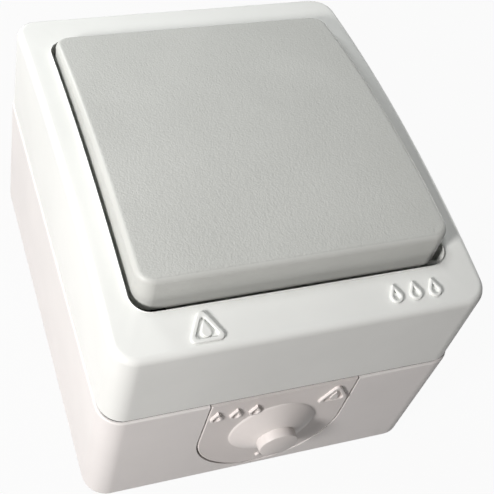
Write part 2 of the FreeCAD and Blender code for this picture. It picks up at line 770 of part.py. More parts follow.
def make_cover():
    body = new_body("cover_shell")
    outline = new_sketch(body, "cover_outline", "XY_Plane", (0, 0, "cover_bottom"))
    draw_rounded_rectangle(outline, "seam_width", "seam_height", "corner_radius")
    slope = "-atan(cover_inset / (front_level - seam_level))"
    add_pad(body, outline, "front_level - cover_bottom + 2", "cover_block", taper=slope)

    arch = new_sketch(body, "front_arch", "YZ_Plane", (0, "front_level", 0))
    draw_arch(arch, "front_radius", "seam_height + 20", 12, 1)
    add_pocket(body, arch, "seam_width + 20", "front_cut", both=True)
    round_edges(body, "front_rounding_all_round", "front_rounding", outer_edges_of_arch)

    cavity = new_sketch(body, "cover_cavity_arch", "YZ_Plane", (0, "front_level - front_wall", 0))
    depth = "front_level - front_wall - cavity_bottom"
    draw_arch(cavity, "front_radius - front_wall", "seam_height - 2 * cover_wall", depth, -1)
    add_pocket(body, cavity, "seam_width - 2 * cover_wall", "cover_cavity", both=True)
    corners = upright_edges("seam_width / 2 - cover_wall", "seam_height / 2 - cover_wall")
    round_edges(body, "cavity_corners", "cavity_corner", corners)

    throat = new_sketch(body, "throat_outline", "XY_Plane", (0, 0, "cavity_bottom + 0.5"))
    draw_rounded_rectangle(throat, "throat_width", "throat_height", "cavity_corner")
    add_pocket(body, throat, "cover_root + 1", "throat")

    tongue = new_sketch(body, "tongue_outline", "XY_Plane", (0, 0, "seam_level - tongue_depth"))
    draw_rounded_rectangle(tongue, "tongue_width", "tongue_height", "cavity_corner + tongue_play")
    draw_rounded_rectangle(tongue, "throat_width", "throat_height", "cavity_corner")
    add_pad(body, tongue, "tongue_depth + seam_gap + 0.5", "tongue")

    collar = new_sketch(body, "collar_outline", "XY_Plane", (0, 0, "flange_bottom"))
    width, height = "opening_width + 2 * collar_wall", "opening_height + 2 * collar_wall"
    draw_rounded_rectangle(collar, width, height, "opening_radius + collar_wall")
    inside = "opening_width - 2 * flange_side", "opening_height - 2 * flange_end"
    draw_rounded_rectangle(collar, *inside, "opening_radius")
    feature = add_pad(body, collar, 1, "collar")
    feature.Type = "UpToFirst"

    opening = new_sketch(body, "opening_outline", "XY_Plane", (0, 0, "flange_level"))
    draw_rounded_rectangle(opening, "opening_width", "opening_height", "opening_radius")
    add_pocket(body, opening, "front_level - flange_level + 2", "opening", reverse=True)
    round_edges(body, "opening_rounding", "opening_edge", inner_edges_of_arch)

    holes = new_sketch(body, "cover_screw_holes", "XY_Plane", (0, 0, "flange_level"))
    for side in (1, -1):
        across, up = f"{side} * cover_screw_across", f"{side} * cover_screw_up"
        draw_circle(holes, "cover_screw_radius + clearance_hole", across, up)
    add_pocket(body, holes, "flange_thickness + 1", "cover_screw_clearance")

    faces = mark_faces(-value("cover_triangle_across"), value("cover_droplets_across"))
    up = -value("cover_mark_up")
    surface = value("front_radius + mark_relief")
    root = value(f"front_level - front_radius + sqrt(front_radius * front_radius - ({up}) * ({up}))")
    root -= value("mark_root")
    prisms = []
    for face in faces:
        face.translate(FreeCAD.Vector(0, up, root))
        prisms.append(face.extrude(FreeCAD.Vector(0, 0, 5)))
    width = value("seam_width")
    centre = FreeCAD.Vector(-width / 2, 0, value("front_level - front_radius"))
    under_relief = Part.makeCylinder(surface, width, centre, FreeCAD.Vector(1, 0, 0))
    marks = doc.addObject("Part::Feature", "cover_marks")
    marks.Shape = Part.makeCompound([prism.common(under_relief) for prism in prisms])
    keep("cover", fuse("cover_with_marks", [body, marks]))


# Cable entry


def make_cable_entry():
    body = new_body("entry_plate")
    wall = "-seam_height / 2 + base_inset * (1 - entry_level / seam_level)"
    turn = "wall_slope"
    outer = (0, "entry_level", f"-({wall})")
    plate = new_sketch(body, "plate_outline", "XZ_Plane", outer, turn)
    draw_tongue(plate, "entry_outside", "seam_level - entry_level", 1)
    add_pad(body, plate, "entry_wall", "plate", reverse=True)

    def outside_edges(shape):
        face = min(shape.Faces, key=lambda item: item.CenterOfMass.y)
        return [edge for edge in face.Edges if edge.BoundBox.ZLength > 1]

    round_edges(body, "plate_edge", "entry_edge", outside_edges)

    inner = (0, "entry_level", f"-({wall}) - entry_wall")
    lip = new_sketch(body, "lip_outline", "XZ_Plane", inner, turn)
    reach = "seam_level - entry_level - entry_lip_drop"
    half = "entry_radius + entry_lip"
    draw_rectangle(lip, (f"-({half})", half), ("base_floor + entry_lip_lift - entry_level", reach))
    add_pad(body, lip, "entry_lip_wall", "lip", reverse=True)

    cone = new_sketch(body, "cone_profile", "YZ_Plane", ("-wall_at_cone", "cone_level", 0))
    draw_outline(
        cone,
        [
            (1, 0),
            (1, "cone_radius"),
            (0, "cone_radius"),
            ("-cone_height", "cone_top_radius"),
            ("-cone_height", "stub_radius"),
            ("-stub_length + stub_edge", "stub_radius"),
            ("-stub_length", "stub_radius - stub_edge"),
            ("-stub_length", 0),
        ],
    )
    turned = body.newObject("PartDesign::Revolution", "cone")
    turned.Profile = cone
    turned.ReferenceAxis = (cone, ["H_Axis"])
    turned.Angle = 360

    bore = new_sketch(body, "bore_profile", "YZ_Plane", ("-wall_at_cone", "cone_level", 0))
    inside = "stub_radius - stub_wall"
    draw_outline(
        bore,
        [
            ("entry_wall + entry_lip_wall + 1", 0),
            ("entry_wall + entry_lip_wall + 1", "cone_radius - stub_wall"),
            ("stub_wall", "cone_radius - stub_wall"),
            ("-cone_height + stub_wall", inside),
            ("-stub_length + stub_wall", inside),
            ("-stub_length + stub_wall", 0),
        ],
    )
    hollow = body.newObject("PartDesign::Groove", "bore")
    hollow.Profile = bore
    hollow.ReferenceAxis = (bore, ["H_Axis"])
    hollow.Angle = 360

    pip = new_sketch(body, "pip_outline", "XZ_Plane", (0, "cone_level - pip_drop", "wall_at_cone - 1"))
    draw_circle(pip, "pip_radius")
    add_pad(body, pip, "1 + pip_height", "pip")

    groove = new_sketch(body, "entry_groove_outline", "XY_Plane", (0, 0, "seam_level - seal_groove"))
    outside = "-seam_height / 2 + seal_setback"
    draw_rectangle(groove, ("-entry_radius", "entry_radius"), (outside, f"{outside} + seal_width"))
    add_pocket(body, groove, "seal_groove + 1", "entry_groove", reverse=True)

    faces = mark_faces(value("entry_triangle_across"), -value("entry_droplets_across"))
    surface = -value("wall_at_marks")
    stand = FreeCAD.Rotation(FreeCAD.Vector(1, 0, 0), 90)
    place = FreeCAD.Placement(FreeCAD.Vector(0, surface + 1, value("entry_mark_level")), stand)
    reach = FreeCAD.Vector(0, -1 - value("mark_relief"), 0)
    marks = doc.addObject("Part::Feature", "entry_marks")
    marks.Shape = Part.makeCompound([face.transformed(place.Matrix).extrude(reach) for face in faces])
    keep("cable_entry", fuse("entry_with_marks", [body, marks]))


# Rocker


def make_rocker_cap():
    body = new_body("rocker_cap")
    outline = new_sketch(body, "cap_outline", "XY_Plane", (0, 0, "-cap_skirt"))
    width, height = "cap_width + 2 * cap_draft", "cap_height + 2 * cap_draft"
    draw_rounded_rectangle(outline, width, height, "cap_corner")
    slope = "-atan(cap_draft / (cap_crown - cap_sagitta + cap_skirt))"
    add_pad(body, outline, "cap_crown + cap_skirt + 1", "cap_block", taper=slope)

    arch = new_sketch(body, "cap_arch", "YZ_Plane", (0, "cap_crown", 0))
    draw_arch(arch, "cap_radius", "cap_height + 20", 10, 1)
    add_pocket(body, arch, "cap_width + 20", "cap_cut", both=True)
    round_edges(body, "cap_rounding_all_round", "cap_rounding", outer_edges_of_arch)

    cavity = new_sketch(body, "cap_cavity_arch", "YZ_Plane", (0, "cap_inside", 0))
    depth = "cap_inside + cap_skirt + 1"
    draw_arch(cavity, "cap_radius - cap_top", "cap_height - 2 * cap_wall", depth, -1)
    add_pocket(body, cavity, "cap_width - 2 * cap_wall", "cap_cavity", both=True)
    corners = upright_edges("cap_width / 2 - cap_wall", "cap_height / 2 - cap_wall")
    round_edges(body, "cap_cavity_corners", "cap_corner - cap_wall", corners)

    arm_inside = "carrier_width / 2 + clip_play"
    arm_outside = f"{arm_inside} + clip_wall"
    hook = "carrier_width / 2 - clip_hook"
    land = "carrier_level - clip_gap"
    for side, hand in ((1, "right"), (-1, "left")):
        clip = new_sketch(body, f"{hand}_clip_profile", "XZ_Plane")
        points = [
            (arm_inside, "cap_inside + cap_top / 2"),
            (arm_outside, "cap_inside + cap_top / 2"),
            (arm_outside, f"{land} - clip_land - clip_lead"),
            (arm_inside, f"{land} - clip_land - clip_lead"),
            (hook, f"{land} - clip_land"),
            (hook, land),
            (arm_inside, land),
        ]
        draw_outline(clip, [(f"{side} * ({across})", up) for across, up in points])
        add_pad(body, clip, "clip_length", f"{hand}_clip", both=True)
        rib = new_sketch(body, f"{hand}_rib_outline", "XY_Plane", (0, 0, "carrier_top"))
        middle = f"{side} * rib_up"
        across = "-carrier_width / 2", "carrier_width / 2"
        draw_rectangle(rib, across, (f"{middle} - rib_wall / 2", f"{middle} + rib_wall / 2"))
        add_pad(body, rib, "cap_inside - carrier_top + cap_top / 4", f"{hand}_rib")
    keep("rocker_cap", body, at_rocker)


def make_rocker_carrier():
    body = new_body("rocker_carrier")
    plate = new_sketch(body, "plate_outline_carrier", "XY_Plane", (0, 0, "carrier_level"))
    draw_rounded_rectangle(plate, "carrier_width", "carrier_height", "cap_corner")
    add_pad(body, plate, "carrier_plate", "carrier_plate_pad")

    neck = new_sketch(body, "neck_outline", "XY_Plane", (0, 0, "-neck_depth"))
    across = "-neck_width / 2", "neck_width / 2"
    draw_rectangle(neck, across, ("-neck_height / 2", "neck_height / 2"))
    add_pad(body, neck, "neck_depth + carrier_level + carrier_plate / 2", "neck")

    stem = new_sketch(body, "stem_outline", "XY_Plane", (0, 0, "-stem_end"))
    draw_circle(stem, "stem_radius")
    add_pad(body, stem, "stem_end", "stem")

    pins = new_sketch(body, "pin_outline", "YZ_Plane")
    draw_circle(pins, "pin_radius")
    add_pad(body, pins, "2 * cheek_outside", "pins", both=True)

    bore = new_sketch(body, "plunger_bore_outline", "XY_Plane", (0, 0, "-bore_end"))
    draw_circle(bore, "bore_radius")
    add_pocket(body, bore, "stem_end", "plunger_bore")
    keep("rocker_carrier", body, at_rocker)


def make_bearing_frame():
    body = new_body("bearing_frame")
    plate = new_sketch(body, "frame_outline", "XY_Plane", (0, 0, "frame_bottom"))
    draw_rounded_rectangle(plate, "frame_width", "frame_height", "cap_corner")
    add_pad(body, plate, "frame_plate", "frame_plate_pad")
    for side, hand in ((1, "right"), (-1, "left")):
        shift = (0, "pivot_level", "cheek_inside" if side > 0 else "-cheek_outside")
        cheek = new_sketch(body, f"{hand}_cheek_outline", "YZ_Plane", shift)
        draw_tongue(cheek, "cheek_radius", "pivot_level - splash_bottom + frame_plate / 2", -1)
        add_pad(body, cheek, "cheek_wall", f"{hand}_cheek")
    window = new_sketch(body, "window_outline", "XY_Plane", (0, 0, "splash_bottom"))
    draw_rectangle(window, ("-neck_width / 2", "neck_width / 2"), ("-frame_window / 2", "frame_window / 2"))
    add_pocket(body, window, "frame_plate + 1", "window")
    access = new_sketch(body, "screw_access_outline", "XY_Plane", (0, 0, "splash_bottom"))
    for across, up in terminals.values():
        draw_circle(access, "terminal_head_radius + clearance_hole", across, up)
    add_pocket(body, access, "frame_plate + 1", "screw_access")
    pegs = new_sketch(body, "peg_outline", "XY_Plane", (0, 0, "frame_bottom - peg_length"))
    for side in (1, -1):
        draw_circle(pegs, "peg_radius", f"{side} * peg_across", "peg_up")
    add_pad(body, pegs, "peg_length + frame_plate / 2", "pegs")
    bearing = new_sketch(body, "bearing_outline", "YZ_Plane", (0, "pivot_level", 0))
    draw_circle(bearing, "pin_radius + pin_play")
    add_pocket(body, bearing, "2 * cheek_outside + 2", "bearing", both=True)
    keep("bearing_frame", body)


def make_splash_gasket():
    """A rubber sheet between the cover's flange and the bearing frame, with a rim about the cheeks."""
    body = new_body("splash_gasket")
    sheet_sketch = new_sketch(body, "gasket_outline", "XY_Plane", (0, 0, "splash_bottom"))
    width = "opening_width + 2 * collar_wall - 2 * splash_play"
    height = "opening_height + 2 * collar_wall - 2 * splash_play"
    draw_rounded_rectangle(sheet_sketch, width, height, "opening_radius")
    add_pad(body, sheet_sketch, "splash_thickness", "gasket_sheet")

    window_width = "2 * (cheek_outside + splash_play)"
    window_height = "2 * (cheek_radius + splash_play) + neck_height / 2"
    rim = new_sketch(body, "rim_outline", "XY_Plane", (0, 0, "splash_bottom"))
    rim_size = f"{window_width} + 2 * splash_rim", f"{window_height} + 2 * splash_rim"
    draw_rounded_rectangle(rim, *rim_size, "splash_corner + splash_rim")
    add_pad(body, rim, "splash_rim_height + splash_thickness", "gasket_rim")
    window = new_sketch(body, "gasket_window_outline", "XY_Plane", (0, 0, "flange_level + 3"))
    draw_rounded_rectangle(window, window_width, window_height, "splash_corner")
    add_pocket(body, window, "flange_level - splash_bottom + 4", "gasket_window")

    holes = new_sketch(body, "gasket_screw_holes", "XY_Plane", (0, 0, "flange_bottom"))
    for side in (1, -1):
        across, up = f"{side} * cover_screw_across", f"{side} * cover_screw_up"
        draw_circle(holes, "cover_screw_radius + clearance_hole", across, up)
    add_pocket(body, holes, "splash_thickness + 1", "gasket_screw_clearance")
    keep("splash_gasket", body)


# Plunger and spring


def make_plunger():
    tip = doc.addObject("Part::Sphere", "plunger_tip")
    bind(tip, "Radius", "tip_radius")
    bind(tip, ".Placement.Base.z", "-tip_distance")
    taper = doc.addObject("Part::Cone", "plunger_taper")
    bind(taper, "Radius1", "tip_radius")
    bind(taper, "Radius2", "taper_radius")
    bind(taper, "Height", "taper_length")
    bind(taper, ".Placement.Base.z", "-tip_distance")
    shank = rod("plunger_shank", "plunger_radius", (0, 0), ("-tip_distance + taper_length", "-plunger_top"))
    top = "-plunger_top + spigot_length"
    spigot = rod("plunger_spigot", "spigot_radius", (0, 0), ("-plunger_top", top))
    keep("plunger", fuse("plunger_solid", [tip, taper, shank, spigot]), at_rocker)


def make_plunger_spring():
    coil = doc.addObject("Part::Helix", "spring_path")
    low = "-plunger_top + spring_wire + spring_play"
    rise = "plunger_top - bore_end - 2 * (spring_wire + spring_play)"
    bind(coil, "Radius", "spring_radius")
    bind(coil, "Height", rise)
    bind(coil, "Pitch", f"({rise}) / spring_turns")
    bind(coil, ".Placement.Base.z", low)
    wire = doc.addObject("Part::Circle", "spring_section")
    bind(wire, "Radius", "spring_wire")
    place = f"placement(vector(spring_radius; 0; {low}); rotation(vector(1; 0; 0); 90))"
    bind(wire, "Placement", place)
    doc.recompute()
    spring = doc.addObject("Part::Sweep", "spring_coil")
    spring.Sections = [wire]
    spring.Spine = (coil, [f"Edge{number}" for number in range(1, len(coil.Shape.Edges) + 1)])
    spring.Solid = True
    spring.Frenet = True
    keep("plunger_spring", spring, at_rocker)


# Contacts


def make_contact_lever():
    body = new_body("contact_lever")
    strip = new_sketch(body, "lever_outline", "XY_Plane")
    draw_rounded_rectangle(strip, "lever_width", "lever_length", "lever_corner")
    add_pad(body, strip, "lever_thickness", "lever_strip")
    keep("contact_lever", body, at_lever)


def make_rivets(name, level, place=None):
    """Two contact rivets, one at each end of the lever's reach."""
    low, high = level
    ends = {1: "upper", -1: "lower"}
    solids = [
        rod(f"{name}_{end}", "rivet_radius", (0, f"{side} * contact_arm"), (low, high))
        for side, end in ends.items()
    ]
    keep(name, group(f"{name}_pair", solids), place)


def make_fixed_contact(side):
    """A bent strip from under one end of the lever to the clamp beside it."""
    end = "upper" if side > 0 else "lower"
    half = "strip_width / 2"

    def span(near, far):
        return (near, far) if side > 0 else (f"-({far})", f"-({near})")

    pad_bottom = "fixed_pad_top - strip_thickness"
    name = f"{end}_fixed_contact"
    across = f"-{half}", half
    tail_inside = "terminal_across - strip_tail / 2"
    tail_outside = "terminal_across + strip_tail / 2"
    leg = "leg_outside - strip_thickness"
    tail_end = "terminal_up + clamp_side / 2"
    strip = "strip_bottom", "strip_top"
    pieces = [
        block(f"{name}_pad", across, span("pad_inside", "leg_outside"), (pad_bottom, "fixed_pad_top")),
        block(f"{name}_leg", across, span(leg, "leg_outside"), ("housing_floor", "fixed_pad_top")),
        block(f"{name}_foot", (0, tail_outside), span(leg, "leg_outside"), strip),
        block(f"{name}_tail", (tail_inside, tail_outside), span(leg, tail_end), strip),
    ]
    keep(name, fuse(f"{name}_strip", pieces))


def make_common_bridge():
    """The post that the lever rocks on, with its strip to the third clamp."""
    half = "strip_width / 2"
    tail = "-terminal_across - strip_tail / 2", "-terminal_across + strip_tail / 2"
    foot = tail[0], 0
    side = "fulcrum_thickness / 2"
    up = f"-{side}", side
    level = "strip_bottom", "strip_top"
    pieces = [
        block("bridge_post", (f"-{half}", half), up, ("housing_floor", "lever_level - fulcrum_gap")),
        block("bridge_foot", foot, up, level),
        block("bridge_tail", tail, ("-terminal_up - clamp_side / 2", side), level),
    ]
    keep("common_bridge", fuse("common_bridge_strip", pieces))


def make_terminal_clamp(place):
    """A box clamp: the strip and the wire go in along Y, and the screw presses them from above."""
    across, up = terminals[place]
    name = f"{place}_terminal_clamp"
    half = "clamp_side / 2"
    box = block(
        f"{name}_box",
        (f"{across} - {half}", f"{across} + {half}"),
        (f"{up} - {half}", f"{up} + {half}"),
        ("housing_floor", "housing_floor + clamp_height"),
    )
    slot_half = "clamp_slot_width / 2"
    slot = block(
        f"{name}_slot",
        (f"{across} - {slot_half}", f"{across} + {slot_half}"),
        (f"{up} - {half} - 1", f"{up} + {half} + 1"),
        ("strip_bottom", "strip_bottom + clamp_slot_height"),
    )
    span = "strip_bottom", "housing_floor + clamp_height + 1"
    thread = rod(f"{name}_thread", "terminal_screw_radius + screw_play", (across, up), span)
    keep(name, cut(f"{name}_solid", box, fuse(f"{name}_voids", [slot, thread])))


def make_screw(name, centre, seat, radius, bite, head_radius, head_height):
    """A slotted screw whose head sits on seat and whose shank goes down by bite."""
    across, up = centre
    shank = rod(f"{name}_shank", radius, centre, (f"{seat} - ({bite})", seat))
    head = rod(f"{name}_head", head_radius, centre, (seat, f"{seat} + {head_height}"))
    slot = block(
        f"{name}_slot",
        (f"{across} - {head_radius} - 1", f"{across} + {head_radius} + 1"),
        (f"{up} - screw_slot / 2", f"{up} + screw_slot / 2"),
        (f"{seat} + {head_height} / 2", f"{seat} + {head_height} + 1"),
    )
    return cut(name, fuse(f"{name}_blank", [shank, head]), slot)


def make_screws():
    ends = {1: "upper", -1: "lower"}
    cover_screws = [
        make_screw(
            f"{end}_cover_screw",
            (f"{side} * cover_screw_across", f"{side} * cover_screw_up"),
            "flange_level",
            "cover_screw_radius",
            "flange_thickness + splash_thickness + cover_screw_bite",
            "cover_head_radius",
            "cover_head_height",
        )
        for side, end in ends.items()
    ]
    keep("cover_screws", group("cover_screw_pair", cover_screws))
    mechanism_screws = [
        make_screw(
            f"{end}_mechanism_screw",
            (0, f"{side} * boss_up"),
            "housing_bottom + ear_thickness",
            "mechanism_screw_radius",
            "ear_thickness + mechanism_screw_bite",
            "mechanism_head_radius",
            "mechanism_head_height",
        )
        for side, end in ends.items()
    ]
    keep("mechanism_screws", group("mechanism_screw_pair", mechanism_screws))
    terminal_screws = [
        make_screw(
            f"{place}_terminal_screw",
            centre,
            "terminal_seat",
            "terminal_screw_radius",
            "terminal_screw_length",
            "terminal_head_radius",
            "terminal_head_height",
        )
        for place, centre in terminals.items()
    ]
    keep("terminal_screws", group("terminal_screw_set", terminal_screws))


# Mechanism housing


def make_housing():
    half_width, half_height = "housing_width / 2", "housing_height / 2"
    shell = block(
        "housing_block",
        (f"-{half_width}", half_width),
        (f"-{half_height}", half_height),
        ("housing_bottom", "frame_bottom"),
    )
    ears = []
    voids = []
    top = "frame_bottom + 1"
    above_floor = "housing_floor", top
    for side, end in ((1, "upper"), (-1, "lower")):
        near, far = f"{half_height} - 1", f"{half_height} + ear_length"
        up = (near, far) if side > 0 else (f"-({far})", f"-({near})")
        ear_top = "housing_bottom + ear_thickness"
        ears.append(block(f"{end}_ear", ("-ear_width / 2", "ear_width / 2"), up, ("housing_bottom", ear_top)))
        hole = "housing_bottom - 1", f"{ear_top} + 1"
        centre = 0, f"{side} * boss_up"
        voids.append(rod(f"{end}_ear_hole", "mechanism_screw_radius + clearance_hole", centre, hole))
    across = "-chamber_width / 2", "chamber_width / 2"
    up = "-chamber_height / 2", "chamber_height / 2"
    voids.append(block("lever_chamber", across, up, above_floor))
    bay = "clamp_side / 2 + clamp_play"
    tail = "terminal_across + strip_tail / 2 + clamp_play"
    for place, (across, up) in terminals.items():
        walls = (f"{across} - ({bay})", f"{across} + {bay}"), (f"{up} - ({bay})", f"{up} + {bay}")
        voids.append(block(f"{place}_bay", *walls, above_floor))
        outward = 1 if place.startswith("upper") else -1
        edge = "terminal_up", f"{half_height} + 1"
        run = edge if outward > 0 else (f"-({edge[1]})", f"-({edge[0]})")
        level = "strip_top + wire_hole_radius"
        voids.append(rod(f"{place}_wire_hole", "wire_hole_radius", (across, level), run, axis="y"))
    channel = "leg_outside - strip_thickness - clamp_play", "terminal_up"
    voids.append(block("upper_channel", (0, tail), channel, above_floor))
    voids.append(block("lower_channel", (0, tail), (f"-({channel[1]})", f"-({channel[0]})"), above_floor))
    channel = "-terminal_up", "fulcrum_thickness / 2 + clamp_play"
    voids.append(block("common_channel", (f"-({tail})", 0), channel, above_floor))
    for side, hand in ((1, "right"), (-1, "left")):
        centre = f"{side} * peg_across", "peg_up"
        depth = "frame_bottom - peg_length - pilot_spare", top
        voids.append(rod(f"{hand}_peg_hole", "peg_radius + peg_play", centre, depth))
    body = cut("housing_solid", fuse("housing_blank", [shell, *ears]), fuse("housing_voids", voids))
    keep("mechanism_housing", body)


make_back_box()
make_seam_seal()
make_cover()
make_cable_entry()
make_rocker_cap()
make_rocker_carrier()
make_bearing_frame()
make_splash_gasket()
make_plunger()
make_plunger_spring()
make_contact_lever()
make_rivets("lever_rivets", ("-rivet_height", 0), at_lever)
make_rivets("fixed_rivets", ("fixed_pad_top", "fixed_rivet_top"))
make_fixed_contact(1)
make_fixed_contact(-1)
make_common_bridge()
for place in terminals:
    make_terminal_clamp(place)
make_screws()
make_housing()
doc.recompute()

# Nothing is written unless every object and every sub-part is sound

faults = [
    f"{item.Name} {item.State}"
    for item in doc.Objects
    if "Invalid" in item.State or "Error" in item.State
]
faults += [
    f"{name} has no sound shape"
    for name, item in nodes.items()
    if item.Shape.isNull() or not item.Shape.isValid()
]
if faults:
    raise RuntimeError("; ".join(faults))

for name, item in nodes.items():
    item.Shape.exportStep(os.path.join("parts", f"{name}.step"))
    print(f"{name}: {len(item.Shape.Solids)} solid, {item.Shape.Volume:.1f} mm3")
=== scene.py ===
import math

import bmesh
import bpy
from mathutils import Matrix, Vector


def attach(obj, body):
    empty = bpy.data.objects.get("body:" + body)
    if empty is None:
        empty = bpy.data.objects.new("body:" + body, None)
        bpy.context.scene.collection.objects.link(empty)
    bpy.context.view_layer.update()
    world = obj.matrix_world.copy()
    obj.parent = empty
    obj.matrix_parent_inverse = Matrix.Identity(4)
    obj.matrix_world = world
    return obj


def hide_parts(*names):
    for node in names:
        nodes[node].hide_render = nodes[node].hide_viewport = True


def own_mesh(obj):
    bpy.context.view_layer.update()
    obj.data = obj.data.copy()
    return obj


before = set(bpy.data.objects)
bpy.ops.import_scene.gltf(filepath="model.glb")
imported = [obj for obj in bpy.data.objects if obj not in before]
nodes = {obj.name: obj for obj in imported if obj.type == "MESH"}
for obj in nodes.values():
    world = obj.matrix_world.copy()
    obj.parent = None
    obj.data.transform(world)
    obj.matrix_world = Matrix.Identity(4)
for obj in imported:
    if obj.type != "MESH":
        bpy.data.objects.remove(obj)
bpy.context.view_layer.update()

# Mesh helpers. Pieces are modelled in millimetres and brought to metres when they are finished.

millimetre = 0.001
near = 1e-4             # two places closer than this count as the same
mergeWithin = 0.0005


def archHeight(y, crown, radius):
    return crown - radius + math.sqrt(radius * radius - y * y)


def freshEdges(bm, known):
    return [edge for edge in bm.edges if edge not in known]


def loopVerts(edges):
    return list({v for e in edges for v in e.verts})


def roundedLoop(bm, halfX, halfY, corner, level, sideCuts=26, endCuts=3, steps=8):
    # a rounded rectangle of edges; level is a height, or the (crown, radius) of an arch along Y
    known = set(bm.edges)
    made = bmesh.ops.create_grid(bm, x_segments=1, y_segments=1, size=1.0)
    bmesh.ops.scale(bm, vec=(halfX, halfY, 1), verts=made["verts"])
    bmesh.ops.bevel(bm, geom=made["verts"], offset=corner, offset_type="OFFSET", segments=steps,
                    profile=0.5, affect="VERTICES", material=-1, clamp_overlap=False)
    fresh = freshEdges(bm, known)
    bmesh.ops.delete(bm, geom=list({f for e in fresh for f in e.link_faces}), context="FACES_ONLY")
    sides = [e for e in fresh if all(abs(abs(v.co.x) - halfX) < near for v in e.verts)]
    ends = [e for e in fresh if all(abs(abs(v.co.y) - halfY) < near for v in e.verts)]
    if sideCuts:
        bmesh.ops.subdivide_edges(bm, edges=sides, cuts=sideCuts)
    if endCuts:
        bmesh.ops.subdivide_edges(bm, edges=ends, cuts=endCuts)
    fresh = freshEdges(bm, known)
    for vert in loopVerts(fresh):
        vert.co.z = level if isinstance(level, (int, float)) else archHeight(vert.co.y, *level)
    return fresh


def bridgeChain(bm, loops, closed=False, apart=20.0):
    # the loops are spread out along Z while they are joined, so that no two of them share a plane
    heights = {vert: vert.co.z for loop in loops for vert in loopVerts(loop)}
    for number, loop in enumerate(loops):
        for vert in loopVerts(loop):
            vert.co.z = number * apart
    pairs = list(zip(loops, loops[1:]))
    if closed:
        pairs.append((loops[-1], loops[0]))
    for one, other in pairs:
        bmesh.ops.bridge_loops(bm, edges=one + other)
    for vert, height in heights.items():
        vert.co.z = height


def capLoop(bm, edges):
    # closes a loop with strips across X, so that an arched top keeps its curve
    rows = sorted({round(v.co.y, 4) for v in loopVerts(edges)})
    made = bmesh.ops.contextual_create(bm, geom=edges)
    faces = list(made["faces"])
    for y in rows[1:-1]:
        reach = faces + list({e for f in faces for e in f.edges}) + list({v for f in faces for v in f.verts})
        cut = bmesh.ops.bisect_plane(bm, geom=reach, dist=0.001, plane_co=(0, y, 0), plane_no=(0, 1, 0))
        faces = [item for item in cut["geom"] if isinstance(item, bmesh.types.BMFace)]


def soften(bm, edges, width, steps=3):
    bmesh.ops.bevel(bm, geom=edges, offset=width, offset_type="OFFSET", segments=steps, profile=0.5,
                    affect="EDGES", material=-1, clamp_overlap=True)


def addBlock(bm, low, high, width=0.2):
    known = set(bm.edges)
    made = bmesh.ops.create_cube(bm, size=1.0)
    size = [b - a for a, b in zip(low, high)]
    middle = [(a + b) / 2 for a, b in zip(low, high)]
    bmesh.ops.scale(bm, vec=size, verts=made["verts"])
    bmesh.ops.translate(bm, vec=middle, verts=made["verts"])
    soften(bm, freshEdges(bm, known), width, steps=2)


def turnedPost(bm, x, y, profile):
    verts = [bm.verts.new((x + r, y, z)) for r, z in profile]
    edges = [bm.edges.new(pair) for pair in zip(verts, verts[1:])]
    bmesh.ops.spin(bm, geom=verts + edges, cent=(x, y, 0), axis=(0, 0, 1), angle=2 * math.pi,
                   steps=40, use_merge=True)


def cutAway(bm, cutter):
    # what the cutter mesh covers is taken away by a Boolean modifier
    items = []
    for part, name in ((bm, "shellPart"), (cutter, "cutterPart")):
        bmesh.ops.recalc_face_normals(part, faces=list(part.faces))
        mesh = bpy.data.meshes.new(name)
        part.to_mesh(mesh)
        part.free()
        items.append(bpy.data.objects.new(name, mesh))
        bpy.context.scene.collection.objects.link(items[-1])
    shell, tool = items
    boolean = shell.modifiers.new("cut", "BOOLEAN")
    boolean.operation = "DIFFERENCE"
    boolean.object = tool
    boolean.solver = "EXACT"
    bpy.context.view_layer.update()
    result = bpy.data.meshes.new_from_object(shell.evaluated_get(bpy.context.evaluated_depsgraph_get()))
    made = bmesh.new()
    made.from_mesh(result)
    for item in items:
        bpy.data.objects.remove(item)
    bpy.data.meshes.remove(result)
    return made


def finishPiece(bm, name, materials, body, replaced, place=None, sharp=32):
    bmesh.ops.remove_doubles(bm, verts=list(bm.verts), dist=mergeWithin)
    bmesh.ops.recalc_face_normals(bm, faces=list(bm.faces))
    if place:
        bmesh.ops.transform(bm, matrix=place, verts=list(bm.verts))
    bmesh.ops.scale(bm, vec=(millimetre,) * 3, verts=list(bm.verts))
    mesh = bpy.data.meshes.new(name)
    bm.to_mesh(mesh)
    bm.free()
    mesh.shade_smooth()
    mesh.set_sharp_from_angle(angle=math.radians(sharp))
    piece = bpy.data.objects.new(name, mesh)
    bpy.context.scene.collection.objects.link(piece)
    for material in materials:
        mesh.materials.append(material)
    weighted = piece.modifiers.new("weightedNormal", "WEIGHTED_NORMAL")
    weighted.keep_sharp = True
    weighted.weight = 80
    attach(piece, body)
    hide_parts(replaced)
    print("made", name, len(mesh.polygons), "faces")
    return piece


# Materials


def screenColour(red, green, blue):
    def linear(value):
        value /= 255
        return value / 12.92 if value <= 0.04045 else ((value + 0.055) / 1.055) ** 2.4
    return (linear(red), linear(green), linear(blue), 1.0)


def noiseNode(tree, place, scale, detail, roughness=0.5):
    noise = tree.nodes.new("ShaderNodeTexNoise")
    noise.inputs["Scale"].default_value = scale
    noise.inputs["Detail"].default_value = detail
    noise.inputs["Roughness"].default_value = roughness
    tree.links.new(place.outputs["Object"], noise.inputs["Vector"])
    return noise


def bumpNode(tree, height, distance, before=None):
    bump = tree.nodes.new("ShaderNodeBump")
    bump.inputs["Strength"].default_value = 1.0
    bump.inputs["Distance"].default_value = distance
    tree.links.new(height, bump.inputs["Height"])
    if before:
        tree.links.new(before.outputs["Normal"], bump.inputs["Normal"])
    return bump


